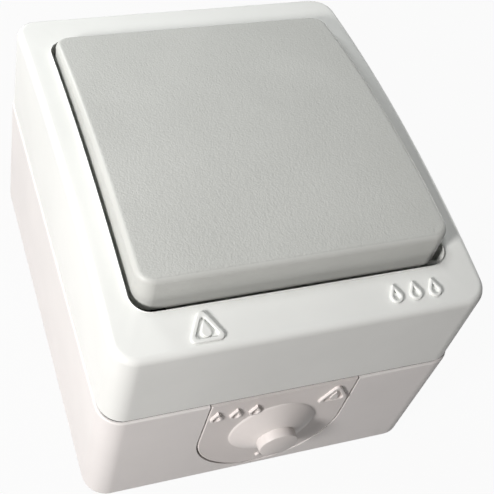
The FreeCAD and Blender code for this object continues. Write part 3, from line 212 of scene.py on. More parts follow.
def rangeNode(tree, value, fromBand, toBand):
    spread = tree.nodes.new("ShaderNodeMapRange")
    for socket, number in zip(("From Min", "From Max", "To Min", "To Max"), (*fromBand, *toBand)):
        spread.inputs[socket].default_value = number
    tree.links.new(value, spread.inputs["Value"])
    return spread


plainSurface = {"metallic": 0.0, "ior": 1.5, "cloudScale": 60, "cloudBand": (0.35, 0.65),
                "fineScale": 1400, "fineBand": (0.3, 0.7), "fineDepth": 0.000004}

# the rocker's leather grain and the painted shade in its creases; its scales and depth multiply the finish's
# grainScale and grainDepth
leather = {"warp": 0.0006, "warpScale": 0.6, "smoothness": 0.6, "paintedShadeBand": (0.0, 0.9),
           "creaseScale": 0.45, "creaseRoughness": 0.6, "creaseDepth": 1.2}


def leatherGrainAndShade(tree, place, look, bump, tone):
    # rounded pebbles between shallow creases, broken up by a second size; the colour is darkened towards the
    # creases as painted shade
    warp = noiseNode(tree, place, look["grainScale"] * leather["warpScale"], detail=2)
    shift = tree.nodes.new("ShaderNodeMix")
    shift.data_type = "VECTOR"                              # its sockets are inputs 4 and 5, output 1
    shift.inputs["Factor"].default_value = leather["warp"]
    tree.links.new(place.outputs["Object"], shift.inputs[4])
    tree.links.new(warp.outputs["Color"], shift.inputs[5])
    cells = tree.nodes.new("ShaderNodeTexVoronoi")
    cells.feature = "SMOOTH_F1"
    cells.inputs["Scale"].default_value = look["grainScale"]
    cells.inputs["Smoothness"].default_value = leather["smoothness"]
    tree.links.new(shift.outputs[1], cells.inputs["Vector"])
    bump = bumpNode(tree, cells.outputs["Distance"], look["grainDepth"], bump)
    bump.invert = True
    crease = noiseNode(tree, place, look["grainScale"] * leather["creaseScale"], detail=3,
                       roughness=leather["creaseRoughness"])
    bump = bumpNode(tree, crease.outputs["Fac"], look["grainDepth"] * leather["creaseDepth"], bump)
    # painted shade: the colour darkens from each pebble's middle out to the creases between pebbles
    shade = rangeNode(tree, cells.outputs["Distance"], leather["paintedShadeBand"], (1.0, look["paintedCreaseShade"]))
    paintedShade = tree.nodes.new("ShaderNodeMix")
    paintedShade.data_type = "RGBA"                               # its sockets are inputs 6 and 7, output 2
    paintedShade.blend_type = "MULTIPLY"
    paintedShade.inputs["Factor"].default_value = 1.0
    tree.links.new(tone.outputs["Color"], paintedShade.inputs[6])
    tree.links.new(shade.outputs["Result"], paintedShade.inputs[7])
    return bump, paintedShade.outputs[2]


def surfaceMaterial(name, ownLook):
    look = {**plainSurface, **ownLook}
    material = bpy.data.materials.new(name)
    material.use_nodes = True
    tree = material.node_tree
    shader = tree.nodes["Principled BSDF"]
    place = tree.nodes.new("ShaderNodeTexCoord")
    shader.inputs["Metallic"].default_value = look["metallic"]
    shader.inputs["IOR"].default_value = look["ior"]

    cloud = noiseNode(tree, place, look["cloudScale"], detail=4)
    tone = tree.nodes.new("ShaderNodeValToRGB")
    stops = zip(tone.color_ramp.elements, look["cloudBand"], (look["dark"], look["light"]))
    for stop, position, colour in stops:
        stop.position = position
        stop.color = screenColour(*colour)
    tree.links.new(cloud.outputs["Fac"], tone.inputs["Fac"])

    fine = noiseNode(tree, place, look["fineScale"], detail=2)
    gloss = rangeNode(tree, fine.outputs["Fac"], look["fineBand"], look["roughness"])
    tree.links.new(gloss.outputs["Result"], shader.inputs["Roughness"])
    bump = bumpNode(tree, fine.outputs["Fac"], look["fineDepth"])
    colour = tone.outputs["Color"]
    if "grainScale" in look:
        bump, colour = leatherGrainAndShade(tree, place, look, bump, tone)
    tree.links.new(colour, shader.inputs["Base Color"])
    tree.links.new(bump.outputs["Normal"], shader.inputs["Normal"])
    return material


finishes = {
    "coverPlastic": {"dark": (228, 229, 226), "light": (232, 233, 230), "roughness": (0.42, 0.50),
                     "fineScale": 3200, "fineDepth": 0.000007},
    "basePlastic": {"dark": (227, 223, 221), "light": (231, 227, 225), "roughness": (0.42, 0.50),
                    "fineScale": 3200, "fineDepth": 0.000008},
    # the rocker's grained top, with painted shade darkening the grain's creases
    "rockerGrainAndShade": {"dark": (189, 190, 186), "light": (194, 195, 191), "roughness": (0.46, 0.58),
                    "fineScale": 6500, "fineDepth": 0.00001,
                    "grainScale": 3000, "grainDepth": 0.00004, "paintedCreaseShade": 0.93},
    "rockerPlastic": {"dark": (194, 195, 191), "light": (198, 199, 195), "roughness": (0.42, 0.50),
                      "fineScale": 3400, "fineDepth": 0.00001},
    "entryPlastic": {"dark": (220, 214, 211), "light": (225, 219, 216), "roughness": (0.42, 0.50),
                     "fineScale": 3200, "fineDepth": 0.000007},
    "sealRubber": {"dark": (44, 45, 46), "light": (54, 55, 56), "roughness": (0.62, 0.78),
                   "fineDepth": 0.00001},
    "splashRubber": {"dark": (34, 35, 36), "light": (44, 45, 46), "roughness": (0.62, 0.78),
                     "fineDepth": 0.00001},
    "mechanismPlastic": {"dark": (205, 203, 196), "light": (214, 212, 205), "roughness": (0.36, 0.46)},
    "framePlastic": {"dark": (186, 187, 184), "light": (194, 195, 192), "roughness": (0.40, 0.50)},
    "plungerPlastic": {"dark": (228, 226, 219), "light": (238, 236, 230), "roughness": (0.30, 0.38)},
    "contactBrass": {"dark": (203, 170, 98), "light": (219, 190, 122), "roughness": (0.24, 0.38),
                     "metallic": 1.0, "cloudScale": 240},
    "contactSilver": {"dark": (214, 214, 212), "light": (228, 228, 226), "roughness": (0.22, 0.34),
                      "metallic": 1.0, "cloudScale": 300},
    "clampSteel": {"dark": (176, 178, 180), "light": (198, 200, 202), "roughness": (0.30, 0.44),
                   "metallic": 1.0, "cloudScale": 260},
    "screwSteel": {"dark": (186, 187, 186), "light": (208, 208, 205), "roughness": (0.24, 0.38),
                   "metallic": 1.0, "cloudScale": 320},
    "springSteel": {"dark": (150, 152, 156), "light": (176, 178, 182), "roughness": (0.20, 0.32),
                    "metallic": 1.0, "cloudScale": 320},
}
materials = {name: surfaceMaterial(name, look) for name, look in finishes.items()}
print("materials", len(materials))

nodeFinishes = {
    "splashRubber": ["splash_gasket"],
    "mechanismPlastic": ["mechanism_housing"],
    "framePlastic": ["bearing_frame", "rocker_carrier"],
    "plungerPlastic": ["plunger"],
    "contactBrass": ["contact_lever", "upper_fixed_contact", "lower_fixed_contact", "common_bridge"],
    "contactSilver": ["lever_rivets", "fixed_rivets"],
    "clampSteel": ["lower_left_terminal_clamp", "lower_right_terminal_clamp", "upper_right_terminal_clamp"],
    "screwSteel": ["cover_screws", "mechanism_screws", "terminal_screws"],
}
for finish, names in nodeFinishes.items():
    for name in names:
        for holder in nodes[name].material_slots:
            holder.material = materials[finish]
print("inner pieces finished", sum(len(names) for names in nodeFinishes.values()))

# Raised marks

marks = {"relief": 0.46, "sink": 0.25, "edge": 0.18, "line": 0.68,
         "triangleWidth": 6.7, "triangleHeight": 6.05, "triangleMiddle": 2.55, "triangleCorner": 0.95,
         "innerRadius": 0.8, "innerHeight": 2.9, "innerLift": 0.8,
         "dropRadius": 1.1, "dropHeight": 3.35, "dropLine": 0.5, "dropEdge": 0.15, "pitch": 3.6}


def raiseFaces(bm, faces, relief, sink, softWidth, steep=1.0):
    # flat faces at height 0 become a small raised solid; top edges steeper than steep radians are softened
    made = bmesh.ops.extrude_face_region(bm, geom=list(faces))
    top = [v for v in made["geom"] if isinstance(v, bmesh.types.BMVert)]
    bmesh.ops.translate(bm, vec=(0, 0, relief), verts=top)
    bottom = list({v for f in faces if f.is_valid for v in f.verts})
    bmesh.ops.translate(bm, vec=(0, 0, -sink), verts=bottom)
    topSet = set(top)
    bm.normal_update()
    rim = {e for v in top for e in v.link_edges if e.other_vert(v) in topSet and len(e.link_faces) == 2}
    rim = [e for e in rim if e.link_faces[0].normal.angle(e.link_faces[1].normal, 0) > steep]
    soften(bm, rim, softWidth, steps=3)


def dropletFaces(bm, radius, height, lift=0.0):
    # a drop with its point up, standing lift above the origin
    made = bmesh.ops.create_circle(bm, cap_ends=True, segments=40, radius=radius)
    reach = height - radius
    lean = math.acos(radius / reach)
    for vert in made["verts"]:
        angle = math.atan2(vert.co.x, vert.co.y)
        if abs(angle) < lean:
            share = abs(angle) / lean
            vert.co.x = math.copysign(radius * math.sin(lean) * share, angle)
            vert.co.y = reach + (radius * math.cos(lean) - reach) * share
        vert.co.y += radius + lift
    return [made["verts"][0].link_faces[0]]


def bridgeRings(bm, faces):
    # two flat faces, one inside the other, become the ring between them
    edges = [e for face in faces for e in face.edges]
    bmesh.ops.delete(bm, geom=faces, context="FACES_ONLY")
    return bmesh.ops.bridge_loops(bm, edges=edges)["faces"]


def dropletRing(bm, radius, height, line):
    inside = radius - line
    outer = dropletFaces(bm, radius, height)
    return bridgeRings(bm, outer + dropletFaces(bm, inside, height * inside / radius, line))


def triangleRing(bm, width, height, corner, line, tighter=0.6):
    # round corners, its base on the origin's line; the inner ones are tighter by a share of the line
    innerCorner = corner - line * tighter
    points = [Vector((-width / 2, 0, 0)), Vector((width / 2, 0, 0)), Vector((0, height, 0))]
    opposite = [(points[n - 1] - points[n - 2]).length for n in range(3)]
    inside = sum((point * side for point, side in zip(points, opposite)), Vector()) / sum(opposite)
    faces = []
    for shrink, radius in ((0.0, corner), (line, innerCorner)):
        share = (inside.y - shrink) / inside.y
        verts = [bm.verts.new(inside + (point - inside) * share) for point in points]
        bm.faces.new(verts)
        for number, vert in enumerate(verts):
            half = (points[number - 1] - points[number]).angle(points[number - 2] - points[number]) / 2
            rounded = bmesh.ops.bevel(bm, geom=[vert], offset=radius / math.tan(half), offset_type="OFFSET",
                                      segments=8, profile=0.5, affect="VERTICES", material=-1,
                                      clamp_overlap=False)
        faces.append(rounded["verts"][0].link_faces[0])
    return bridgeRings(bm, faces)


def addMarks(bm, look, place, triangleAt, dropletsAt):
    # generic marks on a flat place: a drop in a triangle, and three drops in a row
    known = set(bm.verts)
    relief, sink = look["relief"], look["sink"]

    def settle(across, down):
        fresh = [v for v in bm.verts if v not in known]
        bmesh.ops.translate(bm, vec=(across, -down, 0), verts=fresh)
        bmesh.ops.transform(bm, matrix=place, verts=fresh)
        known.update(fresh)

    triangle = triangleRing(bm, look["triangleWidth"], look["triangleHeight"], look["triangleCorner"],
                            look["line"])
    raiseFaces(bm, triangle, relief, sink, look["edge"])
    inner = dropletFaces(bm, look["innerRadius"], look["innerHeight"], look["innerLift"])
    raiseFaces(bm, inner, relief, sink, look["edge"])
    settle(triangleAt, look["triangleMiddle"])
    for number in (-1, 0, 1):
        droplet = dropletRing(bm, look["dropRadius"], look["dropHeight"], look["dropLine"])
        raiseFaces(bm, droplet, relief, sink, look["dropEdge"])
        settle(dropletsAt + number * look["pitch"], look["dropHeight"] / 2)


# Cable entry. Its outline is also the back box's cut-out.

entryPlate = {"radius": 13.7, "level": 15.0, "topLevel": 28.0, "wall": 2.7, "edgeRound": 0.25,
              "faceAtFoot": 38.38, "slope": 0.757, "coneLevel": 15.7,
              "profile": [(8.55, 0.0), (8.12, 0.1), (7.85, 0.42), (3.98, 2.3), (3.65, 2.36), (3.65, 3.9),
                          (3.58, 4.04), (3.45, 4.1), (0.0, 4.1)],
              "bore": [(7.1, -2.7), (7.1, -0.9), (2.75, 1.4), (2.75, 3.2), (0.0, 3.2)],
              "pipRadius": 0.55, "pipHeight": 0.45, "pipDepth": 1.0, "pipRound": 0.2, "pipDrop": 11.5,
              "lipHalf": 16.0, "lipFrom": 2.5, "lipTo": 25.2, "lipWall": 1.5, "lipRound": 0.25,
              "lipOverlap": 0.01,
              "marksLevel": 24.0, "triangleAt": 10.2, "dropletsAt": -8.6}


def tongueLoop(bm, c, depth):
    # a half circle with straight sides up to the seam, in the plane of the wall
    made = bmesh.ops.create_circle(bm, cap_ends=False, segments=96, radius=c["radius"])
    verts = made["verts"]
    top = c["topLevel"] - c["level"]
    cornerAngle = math.radians(45)
    for vert in verts:
        if vert.co.y > 1e-6:
            angle = math.atan2(abs(vert.co.x), vert.co.y)      # 0 straight up
            turn = 1 - angle / (math.pi / 2)
            if angle < cornerAngle:
                vert.co = Vector((math.copysign(c["radius"] * angle / cornerAngle, vert.co.x), top, 0))
            else:
                vert.co = Vector((math.copysign(c["radius"], vert.co.x), top * turn * 2, 0))
    bmesh.ops.translate(bm, vec=(0, 0, depth), verts=verts)
    return list({e for v in verts for e in v.link_edges})


def makeEntry(c):
    bm = bmesh.new()
    tongueLoop(bm, c, 0.0)
    tongueLoop(bm, c, -c["wall"])
    coneShift = c["coneLevel"] - c["level"]
    slack = 0.01                                            # for the rounding that a spin's steps add up

    def turned(profile):
        # spins the profile round the cone's middle and gives back its open outer ring
        radius, level = profile[0]
        verts = [bm.verts.new((r, coneShift, z)) for r, z in profile]
        edges = [bm.edges.new(pair) for pair in zip(verts, verts[1:])]
        bmesh.ops.spin(bm, geom=verts + edges, cent=(0, coneShift, 0), axis=(0, 0, 1), angle=2 * math.pi,
                       steps=96, use_merge=True)
        bmesh.ops.remove_doubles(bm, verts=list(bm.verts), dist=mergeWithin)

        def onRing(vert):
            reach = math.hypot(vert.co.x, vert.co.y - coneShift)
            return abs(vert.co.z - level) < near and abs(reach - radius) < slack

        return [e for e in bm.edges if len(e.link_faces) == 1 and all(onRing(v) for v in e.verts)]

    def looseLoop(level):
        return [e for e in bm.edges if not e.link_faces and all(abs(v.co.z - level) < near for v in e.verts)]

    outer = turned(c["profile"])
    inner = turned(c["bore"])
    front = looseLoop(0.0)
    back = looseLoop(-c["wall"])
    bmesh.ops.bridge_loops(bm, edges=front + outer)
    bmesh.ops.bridge_loops(bm, edges=back + inner)
    bmesh.ops.bridge_loops(bm, edges=front + back)
    bmesh.ops.recalc_face_normals(bm, faces=list(bm.faces))
    top = c["topLevel"] - c["level"]
    rim = [e for e in front if e.is_valid and min(v.co.y for v in e.verts) < top - near]
    soften(bm, rim, c["edgeRound"], steps=3)

    # the lip behind the wall that holds the plate
    addBlock(bm, (-c["lipHalf"], c["lipFrom"] - c["level"], -c["wall"] - c["lipWall"]),
             (c["lipHalf"], c["lipTo"] - c["level"], -c["wall"] + c["lipOverlap"]), c["lipRound"])
    known = set(bm.edges)
    made = bmesh.ops.create_cone(bm, cap_ends=True, segments=32, radius1=c["pipRadius"],
                                 radius2=c["pipRadius"], depth=c["pipDepth"])
    pipMiddle = (0, coneShift - c["pipDrop"], c["pipHeight"] - c["pipDepth"] / 2)
    bmesh.ops.translate(bm, vec=pipMiddle, verts=made["verts"])
    tip = [e for e in freshEdges(bm, known) if all(v.co.z > 0 for v in e.verts)]
    soften(bm, tip, c["pipRound"], steps=3)
    upright = Matrix.Translation((0, c["marksLevel"] - c["level"], 0))
    addMarks(bm, marks, upright, c["triangleAt"], c["dropletsAt"])
    lean = math.radians(90 + c["slope"])
    foot = Vector((0, -c["faceAtFoot"], 0))
    up = Vector((0, math.cos(lean), math.sin(lean)))
    place = Matrix.Translation(foot + up * c["level"]) @ Matrix.Rotation(lean, 4, "X")
    finishPiece(bm, "entryPlate", [materials["entryPlastic"]], "casing", "cable_entry",
                place)


# Casing

backBox = {"foot": (32.63, 38.38), "top": (33.0, 38.75), "corner": 4.4,
           "rim": 28.0, "rimRound": 0.42, "footRound": 0.3,
           "grooveFrom": 0.52, "grooveTo": 1.8, "grooveDepth": 1.0,
           "cavity": (30.4, 36.15), "cavityCorner": 2.0, "floor": 2.2,
           "cutRadius": 14.0, "cutLevel": 15.0, "cutRound": 0.14, "cutDepths": (34.0, 41.0), "cutAbove": 1.0,
           "postAt": (22.7, 27.0),
           "post": [(0, 21.3), (1.52, 21.3), (1.52, 35.3), (3.4, 35.3), (3.4, 1.9), (0, 1.9)],
           "bossAt": 23.7,
           "boss": [(0, 2.2), (1.22, 2.2), (1.22, 8.2), (2.7, 8.2), (2.7, 1.9), (0, 1.9)],
           "cutFace": 38.2, "cutSlack": 0.03,
           "slotAt": 30.0, "slotHalf": 3.5, "slotRadius": 2.2, "slotCorner": 2.19, "slotLevels": (-1.0, 4.0)}


def makeBackBox(c):
    bm = bmesh.new()
    groove = [(c["top"][0] - inset, c["top"][1] - inset, c["corner"] - inset)
              for inset in (c["grooveFrom"], c["grooveTo"])]
    shapes = [
        (*c["foot"], c["corner"], 0.0),
        (*c["top"], c["corner"], c["rim"]),
        (*groove[0], c["rim"]),
        (*groove[0], c["rim"] - c["grooveDepth"]),
        (*groove[1], c["rim"] - c["grooveDepth"]),
        (*groove[1], c["rim"]),
        (*c["cavity"], c["cavityCorner"], c["rim"]),
        (*c["cavity"], c["cavityCorner"], c["floor"]),
    ]
    loops = [roundedLoop(bm, *shape, sideCuts=3) for shape in shapes]
    bridgeChain(bm, loops)
    bmesh.ops.contextual_create(bm, geom=loops[0])
    bmesh.ops.contextual_create(bm, geom=loops[-1])
    soften(bm, loops[1], c["rimRound"], steps=5)
    soften(bm, loops[0], c["footRound"], steps=3)

    # the entry's cut-out and the two wall-fixing slots
    cutter = bmesh.new()
    tongue = {"radius": c["cutRadius"], "level": c["cutLevel"], "topLevel": c["rim"] + c["cutAbove"]}
    ends = [tongueLoop(cutter, tongue, depth) for depth in c["cutDepths"]]
    bridgeChain(cutter, ends)
    for end in ends:
        bmesh.ops.contextual_create(cutter, geom=end)
    turn = Matrix.Rotation(math.radians(90), 3, "X")
    bmesh.ops.rotate(cutter, cent=(0, 0, 0), matrix=turn, verts=list(cutter.verts))
    bmesh.ops.translate(cutter, vec=(0, 0, c["cutLevel"]), verts=list(cutter.verts))
    for side in (-1, 1):
        ends = [roundedLoop(cutter, c["slotRadius"], c["slotHalf"], c["slotCorner"], level, sideCuts=1,
                            endCuts=0)
                for level in c["slotLevels"]]
        bmesh.ops.translate(cutter, vec=(0, side * c["slotAt"], 0), verts=loopVerts(ends[0] + ends[1]))
        bridgeChain(cutter, ends)
        for end in ends:
            bmesh.ops.contextual_create(cutter, geom=end)
    bm = cutAway(bm, cutter)

    def onCut(vert):
        # on the cut-out's edge in the outer face
        drop = min(vert.co.z - c["cutLevel"], 0)
        offArc = abs(math.hypot(vert.co.x, drop) - c["cutRadius"])
        return offArc < c["cutSlack"] and vert.co.y < -c["cutFace"]

    soften(bm, [e for e in bm.edges if all(onCut(v) for v in e.verts)], c["cutRound"], steps=2)
    for side in (-1, 1):
        turnedPost(bm, side * c["postAt"][0], side * c["postAt"][1], c["post"])
        turnedPost(bm, 0, side * c["bossAt"], c["boss"])
    finishPiece(bm, "backBox", [materials["basePlastic"]], "casing", "back_box")


sealRing = {"outer": (32.52, 38.27), "inner": (31.4, 37.15), "corner": 3.92,
            "from": 28.02, "to": 28.42, "round": 0.12}


def makeSeal(c):
    bm = bmesh.new()
    innerCorner = c["corner"] - (c["outer"][0] - c["inner"][0])
    shapes = [
        (*c["outer"], c["corner"], c["from"]),
        (*c["outer"], c["corner"], c["to"]),
        (*c["inner"], innerCorner, c["to"]),
        (*c["inner"], innerCorner, c["from"]),
    ]
    loops = [roundedLoop(bm, *shape, sideCuts=2) for shape in shapes]
    bridgeChain(bm, loops, closed=True)
    soften(bm, loops[1] + loops[2], c["round"], steps=2)
    finishPiece(bm, "sealRing", [materials["sealRubber"]], "casing", "seam_seal")


coverShell = {"crown": 49.85, "arch": 259.3, "wall": 2.2,
              "foot": (32.75, 38.5), "top": (32.79, 38.54), "corner": 4.3, "rimRound": 1.2, "softEdge": 0.2,
              "opening": (28.0, 30.8), "openingCorner": 3.5, "openingRound": 0.24,
              "lip": 0.36, "undercut": 0.7, "recessCorner": 1.5,
              "flange": (22.0, 23.0), "flangeTop": 38.5, "flangeUnder": 36.5,
              "collar": (29.4, 32.2), "collarCorner": 2.0,
              "cavity": (30.8, 36.55), "throat": (29.05, 34.8), "throatTop": 30.0, "innerCorner": 2.0,
              "tongue": (30.25, 36.0), "tongueCorner": 2.15, "tongueEnd": 25.5, "seam": 28.45,
              "screwsAt": [(22.7, 27.0), (-22.7, -27.0)], "screwHole": 1.9, "drillSpare": 2.0,
              "marksLevel": -34.6, "triangleAt": -17.4, "dropletsAt": 19.5}


def makeCover(c):
    bm = bmesh.new()
    outerArch = (c["crown"], c["arch"])
    innerArch = (c["crown"] - c["wall"], c["arch"] - c["wall"])
    lipArch = (c["crown"] - c["lip"], c["arch"] - c["lip"])
    recessArch = (lipArch[0] - c["undercut"] / 2, lipArch[1] - c["undercut"] / 2)
    undercut = [side + c["undercut"] for side in c["opening"]]
    border = [(a + b) / 2 for a, b in zip(c["top"], c["opening"])]
    borderCorner = (c["corner"] + c["openingCorner"]) / 2
    shapes = [
        (*c["foot"], c["corner"], c["seam"]),
        (*c["top"], c["corner"], outerArch),
        (*border, borderCorner, outerArch),
        (*c["opening"], c["openingCorner"], outerArch),
        (*c["opening"], c["openingCorner"], lipArch),
        (*undercut, c["recessCorner"], recessArch),
        (*undercut, c["recessCorner"], c["flangeTop"]),
        (*c["flange"], c["openingCorner"], c["flangeTop"]),
        (*c["flange"], c["openingCorner"], c["flangeUnder"]),
        (*c["collar"], c["collarCorner"], c["flangeUnder"]),
        (*c["collar"], c["collarCorner"], innerArch),
        (*c["cavity"], c["innerCorner"], innerArch),
        (*c["cavity"], c["innerCorner"], c["throatTop"]),
        (*c["throat"], c["innerCorner"], c["throatTop"]),
        (*c["throat"], c["innerCorner"], c["tongueEnd"]),
        (*c["tongue"], c["tongueCorner"], c["tongueEnd"]),
        (*c["tongue"], c["tongueCorner"], c["seam"]),
    ]
    loops = [roundedLoop(bm, *shape) for shape in shapes]
    bridgeChain(bm, loops, closed=True)
    foot, rim, opening = loops[0], loops[1], loops[3]
    soften(bm, opening, c["openingRound"], steps=4)
    soften(bm, rim, c["rimRound"], steps=8)
    soften(bm, foot, c["softEdge"], steps=4)

    drill = bmesh.new()
    for x, y in c["screwsAt"]:
        made = bmesh.ops.create_cone(drill, cap_ends=True, segments=40, radius1=c["screwHole"],
                                     radius2=c["screwHole"],
                                     depth=c["flangeTop"] - c["flangeUnder"] + c["drillSpare"])
        middle = (x, y, (c["flangeTop"] + c["flangeUnder"]) / 2)
        bmesh.ops.translate(drill, vec=middle, verts=made["verts"])
    bm = cutAway(bm, drill)

    slope = math.asin(-c["marksLevel"] / c["arch"])
    onBorder = Matrix.Translation((0, c["marksLevel"], archHeight(c["marksLevel"], *outerArch)))
    addMarks(bm, marks, onBorder @ Matrix.Rotation(slope, 4, "X"), c["triangleAt"], c["dropletsAt"])
    finishPiece(bm, "coverShell", [materials["coverPlastic"]], "casing", "cover")


# Rocker and spring

rockerCap = {"pivot": 45.0, "tilt": -3.26, "crown": 9.0, "arch": 217.8,
             "foot": (27.1, 29.2), "top": (27.3, 29.45), "corner": 3.0, "topRound": 1.0, "softEdge": 0.2,
             "capInset": 2.0, "capCorner": 1.8, "bottom": -0.5,
             "inside": (25.7, 27.85), "insideCorner": 1.4, "insideCrown": 7.2,
             "clipInner": 18.8, "clipOuter": 20.3, "clipHalf": 4.0, "clipEnd": 2.2,
             "hook": 0.9, "hookHeight": 1.1, "hookOverlap": 0.3,
             "ribAt": 12.0, "ribHalf": 18.5, "ribWall": 1.4, "ribEnd": 5.4, "overlap": 0.2,
             "grainBelowCrown": 2.3, "grainUpright": 0.9}


def makeRocker(c):
    bm = bmesh.new()
    outerArch = (c["crown"], c["arch"])
    insideArch = (c["insideCrown"], c["arch"] - c["crown"] + c["insideCrown"])
    shapes = [
        (c["top"][0] - c["capInset"], c["top"][1] - c["capInset"], c["capCorner"], outerArch),
        (*c["top"], c["corner"], outerArch),
        (*c["foot"], c["corner"], c["bottom"]),
        (*c["inside"], c["insideCorner"], c["bottom"]),
        (*c["inside"], c["insideCorner"], insideArch),
    ]
    loops = [roundedLoop(bm, *shape) for shape in shapes]
    bridgeChain(bm, loops)
    capLoop(bm, loops[0])
    capLoop(bm, loops[-1])
    soften(bm, loops[1], c["topRound"], steps=8)
    soften(bm, loops[2], c["softEdge"], steps=3)

    # a hooked clip on each side and a rib in each half, all run a little way into the cap
    for side in (-1, 1):
        low, high = sorted((side * c["clipInner"], side * c["clipOuter"]))
        addBlock(bm, (low, -c["clipHalf"], c["clipEnd"]),
                 (high, c["clipHalf"], c["insideCrown"] + c["overlap"]))
        low, high = sorted((side * (c["clipInner"] - c["hook"]), side * (c["clipInner"] + c["hookOverlap"])))
        addBlock(bm, (low, -c["clipHalf"], c["clipEnd"]),
                 (high, c["clipHalf"], c["clipEnd"] + c["hookHeight"]))
        middle = side * c["ribAt"]
        ribTop = archHeight(c["ribAt"], *insideArch) + c["overlap"]
        addBlock(bm, (-c["ribHalf"], middle - c["ribWall"] / 2, c["ribEnd"]),
                 (c["ribHalf"], middle + c["ribWall"] / 2, ribTop))
    bmesh.ops.recalc_face_normals(bm, faces=list(bm.faces))
    for face in bm.faces:
        high = face.calc_center_median().z > c["crown"] - c["grainBelowCrown"]
        face.material_index = 1 if high and face.normal.z > c["grainUpright"] else 0
    place = Matrix.Translation((0, 0, c["pivot"])) @ Matrix.Rotation(math.radians(c["tilt"]), 4, "X")
    finishPiece(bm, "rockerCap", [materials["rockerPlastic"], materials["rockerGrainAndShade"]], "rocker",
                "rocker_cap", place)


springCoil = {"axis": (0, 0.056867, 0.998382), "offset": -2.559, "from": 31.28, "to": 39.78,
              "radius": 1.95, "wire": 0.3, "turns": 7, "stepsPerTurn": 28, "travel": 1.0}


def makeSpring(c):
    bm = bmesh.new()
    section = bmesh.ops.create_circle(bm, cap_ends=False, segments=12, radius=c["wire"])["verts"]
    bmesh.ops.rotate(bm, cent=(0, 0, 0), matrix=Matrix.Rotation(math.pi / 2, 3, "X"), verts=section)
    bmesh.ops.translate(bm, vec=(c["radius"], 0, c["from"]), verts=section)
    steps = c["turns"] * c["stepsPerTurn"]
    rise = (c["to"] - c["from"]) / steps
    bmesh.ops.spin(bm, geom=list(bm.verts) + list(bm.edges), cent=(0, 0, 0), axis=(0, 0, 1),
                   dvec=(0, 0, rise), angle=c["turns"] * 2 * math.pi, steps=steps, use_merge=False)
    bmesh.ops.holes_fill(bm, edges=[e for e in bm.edges if e.is_boundary], sides=0)
    place = Matrix.Rotation(-math.asin(c["axis"][1]), 4, "X") @ Matrix.Translation((0, c["offset"], 0))
    coil = finishPiece(bm, "springCoil", [materials["springSteel"]],
                       "rocker", "plunger_spring", place, sharp=60)
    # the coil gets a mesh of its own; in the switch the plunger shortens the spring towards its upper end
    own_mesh(coil)


makeBackBox(backBox)
makeSpring(springCoil)
makeSeal(sealRing)
makeCover(coverShell)
makeRocker(rockerCap)
makeEntry(entryPlate)

# Floor, backdrop and light


def seenWhite(tree):
    # 1 for rays from the camera, from glossy surfaces and through clear ones
    path = tree.nodes.new("ShaderNodeLightPath")
    total = path.outputs["Is Camera Ray"]
    for kind in ("Is Glossy Ray", "Is Transmission Ray"):
        add = tree.nodes.new("ShaderNodeMath")
        add.operation = "ADD"
        add.use_clamp = True
        tree.links.new(total, add.inputs[0])
        tree.links.new(path.outputs[kind], add.inputs[1])
        total = add.outputs[0]
    return total


floorLook = {"half": 0.6, "below": 0.0001, "colour": (140, 136, 134), "roughness": 0.9, "whiteShare": 0.95}


def makeFloor(look):
    mesh = bpy.data.meshes.new("floor")
    bm = bmesh.new()
    bmesh.ops.create_grid(bm, x_segments=1, y_segments=1, size=look["half"])
    bm.to_mesh(mesh)
    bm.free()
    floor = bpy.data.objects.new("floor", mesh)
    bpy.context.scene.collection.objects.link(floor)
    floor.location.z = -look["below"]
    material = bpy.data.materials.new("paleFloor")
    material.use_nodes = True
    tree = material.node_tree
    shader = tree.nodes["Principled BSDF"]
    shader.inputs["Base Color"].default_value = screenColour(*look["colour"])
    shader.inputs["Roughness"].default_value = look["roughness"]
    glow = tree.nodes.new("ShaderNodeEmission")
    glow.inputs["Color"].default_value = (1, 1, 1, 1)
    share = tree.nodes.new("ShaderNodeMath")
    share.operation = "MULTIPLY"
    share.inputs[1].default_value = look["whiteShare"]
    mix = tree.nodes.new("ShaderNodeMixShader")
    tree.links.new(seenWhite(tree), share.inputs[0])
    tree.links.new(share.outputs[0], mix.inputs[0])
    tree.links.new(shader.outputs[0], mix.inputs[1])
    tree.links.new(glow.outputs[0], mix.inputs[2])
    tree.links.new(mix.outputs[0], tree.nodes["Material Output"].inputs["Surface"])
    mesh.materials.append(material)


worldLook = {"strength": 0.03, "seenStrength": 1.0, "colour": (1.0, 1.0, 1.0)}


def makeWorld(look):
    world = bpy.data.worlds.new("room")
    bpy.context.scene.world = world
    world.use_nodes = True
    tree = world.node_tree
    background = tree.nodes["Background"]
    level = rangeNode(tree, seenWhite(tree), (0.0, 1.0), (look["strength"], look["seenStrength"]))
    tree.links.new(level.outputs["Result"], background.inputs["Strength"])
    background.inputs["Color"].default_value = (*look["colour"], 1)


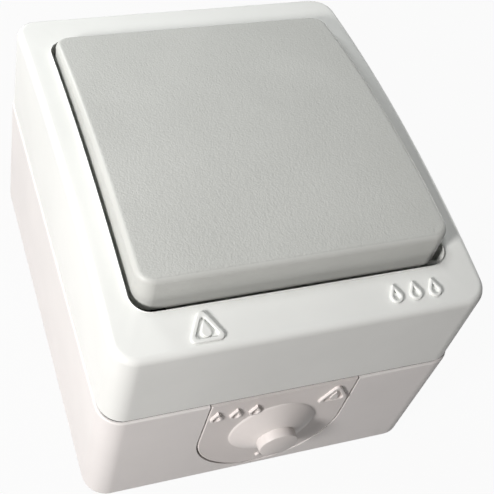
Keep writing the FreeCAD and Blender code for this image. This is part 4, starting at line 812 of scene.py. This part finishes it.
# direction points from the target to the lamp
lamps = {
    "keyLamp": {"direction": (-0.778, -0.449, 0.438), "distance": 0.36, "target": (0, 0, 0.035),
                "size": 0.075, "power": 1.28, "colour": (1.0, 0.98, 0.97)},
    "topLamp": {"direction": (-0.163, 0.282, 0.946), "distance": 0.3, "target": (0, 0, 0.035),
                "size": 0.1, "power": 0.315, "colour": (0.99, 1.0, 0.998)},
    "backLamp": {"direction": (-0.449, 0.778, 0.438), "distance": 0.22, "target": (0, 0, 0.035),
                 "size": 0.06, "power": 0.185, "colour": (0.98, 1.0, 0.995)},
    "fillLamp": {"direction": (0.935, 0.34, 0.105), "distance": 0.3, "target": (0, 0, 0.025),
                 "size": 0.08, "power": 0.14, "colour": (1.0, 0.995, 0.985)},
}


def makeLamp(name, look):
    light = bpy.data.lights.new(name, "AREA")
    light.shape = "DISK"
    light.size = look["size"]
    light.energy = look["power"]
    light.color = look["colour"]
    lamp = bpy.data.objects.new(name, light)
    bpy.context.scene.collection.objects.link(lamp)
    toLamp = Vector(look["direction"]).normalized()
    lamp.location = Vector(look["target"]) + toLamp * look["distance"]
    lamp.rotation_euler = toLamp.to_track_quat("Z", "Y").to_euler()


makeFloor(floorLook)
makeWorld(worldLook)
for name, look in lamps.items():
    makeLamp(name, look)

# Camera, fitted to the casing's edges in the photograph

cameraLook = {"place": (-0.06719457, -0.11267945, 0.18337073), "turn": (39.30936, -9.18776, -16.94936),
              "lens": 77.0267, "sensor": 36, "shift": (0.123482, -0.078947), "clipStart": 0.01}
cameraData = bpy.data.cameras.new("photoCamera")
cameraData.lens = cameraLook["lens"]
cameraData.sensor_width = cameraLook["sensor"]
cameraData.shift_x, cameraData.shift_y = cameraLook["shift"]
cameraData.clip_start = cameraLook["clipStart"]
camera = bpy.data.objects.new("photoCamera", cameraData)
camera.location = cameraLook["place"]
camera.rotation_euler = [math.radians(angle) for angle in cameraLook["turn"]]
bpy.context.scene.collection.objects.link(camera)
bpy.context.scene.camera = camera
bpy.context.scene.view_settings.view_transform = "Standard"
print("floor, lamps and camera placed")

bpy.context.view_layer.update()
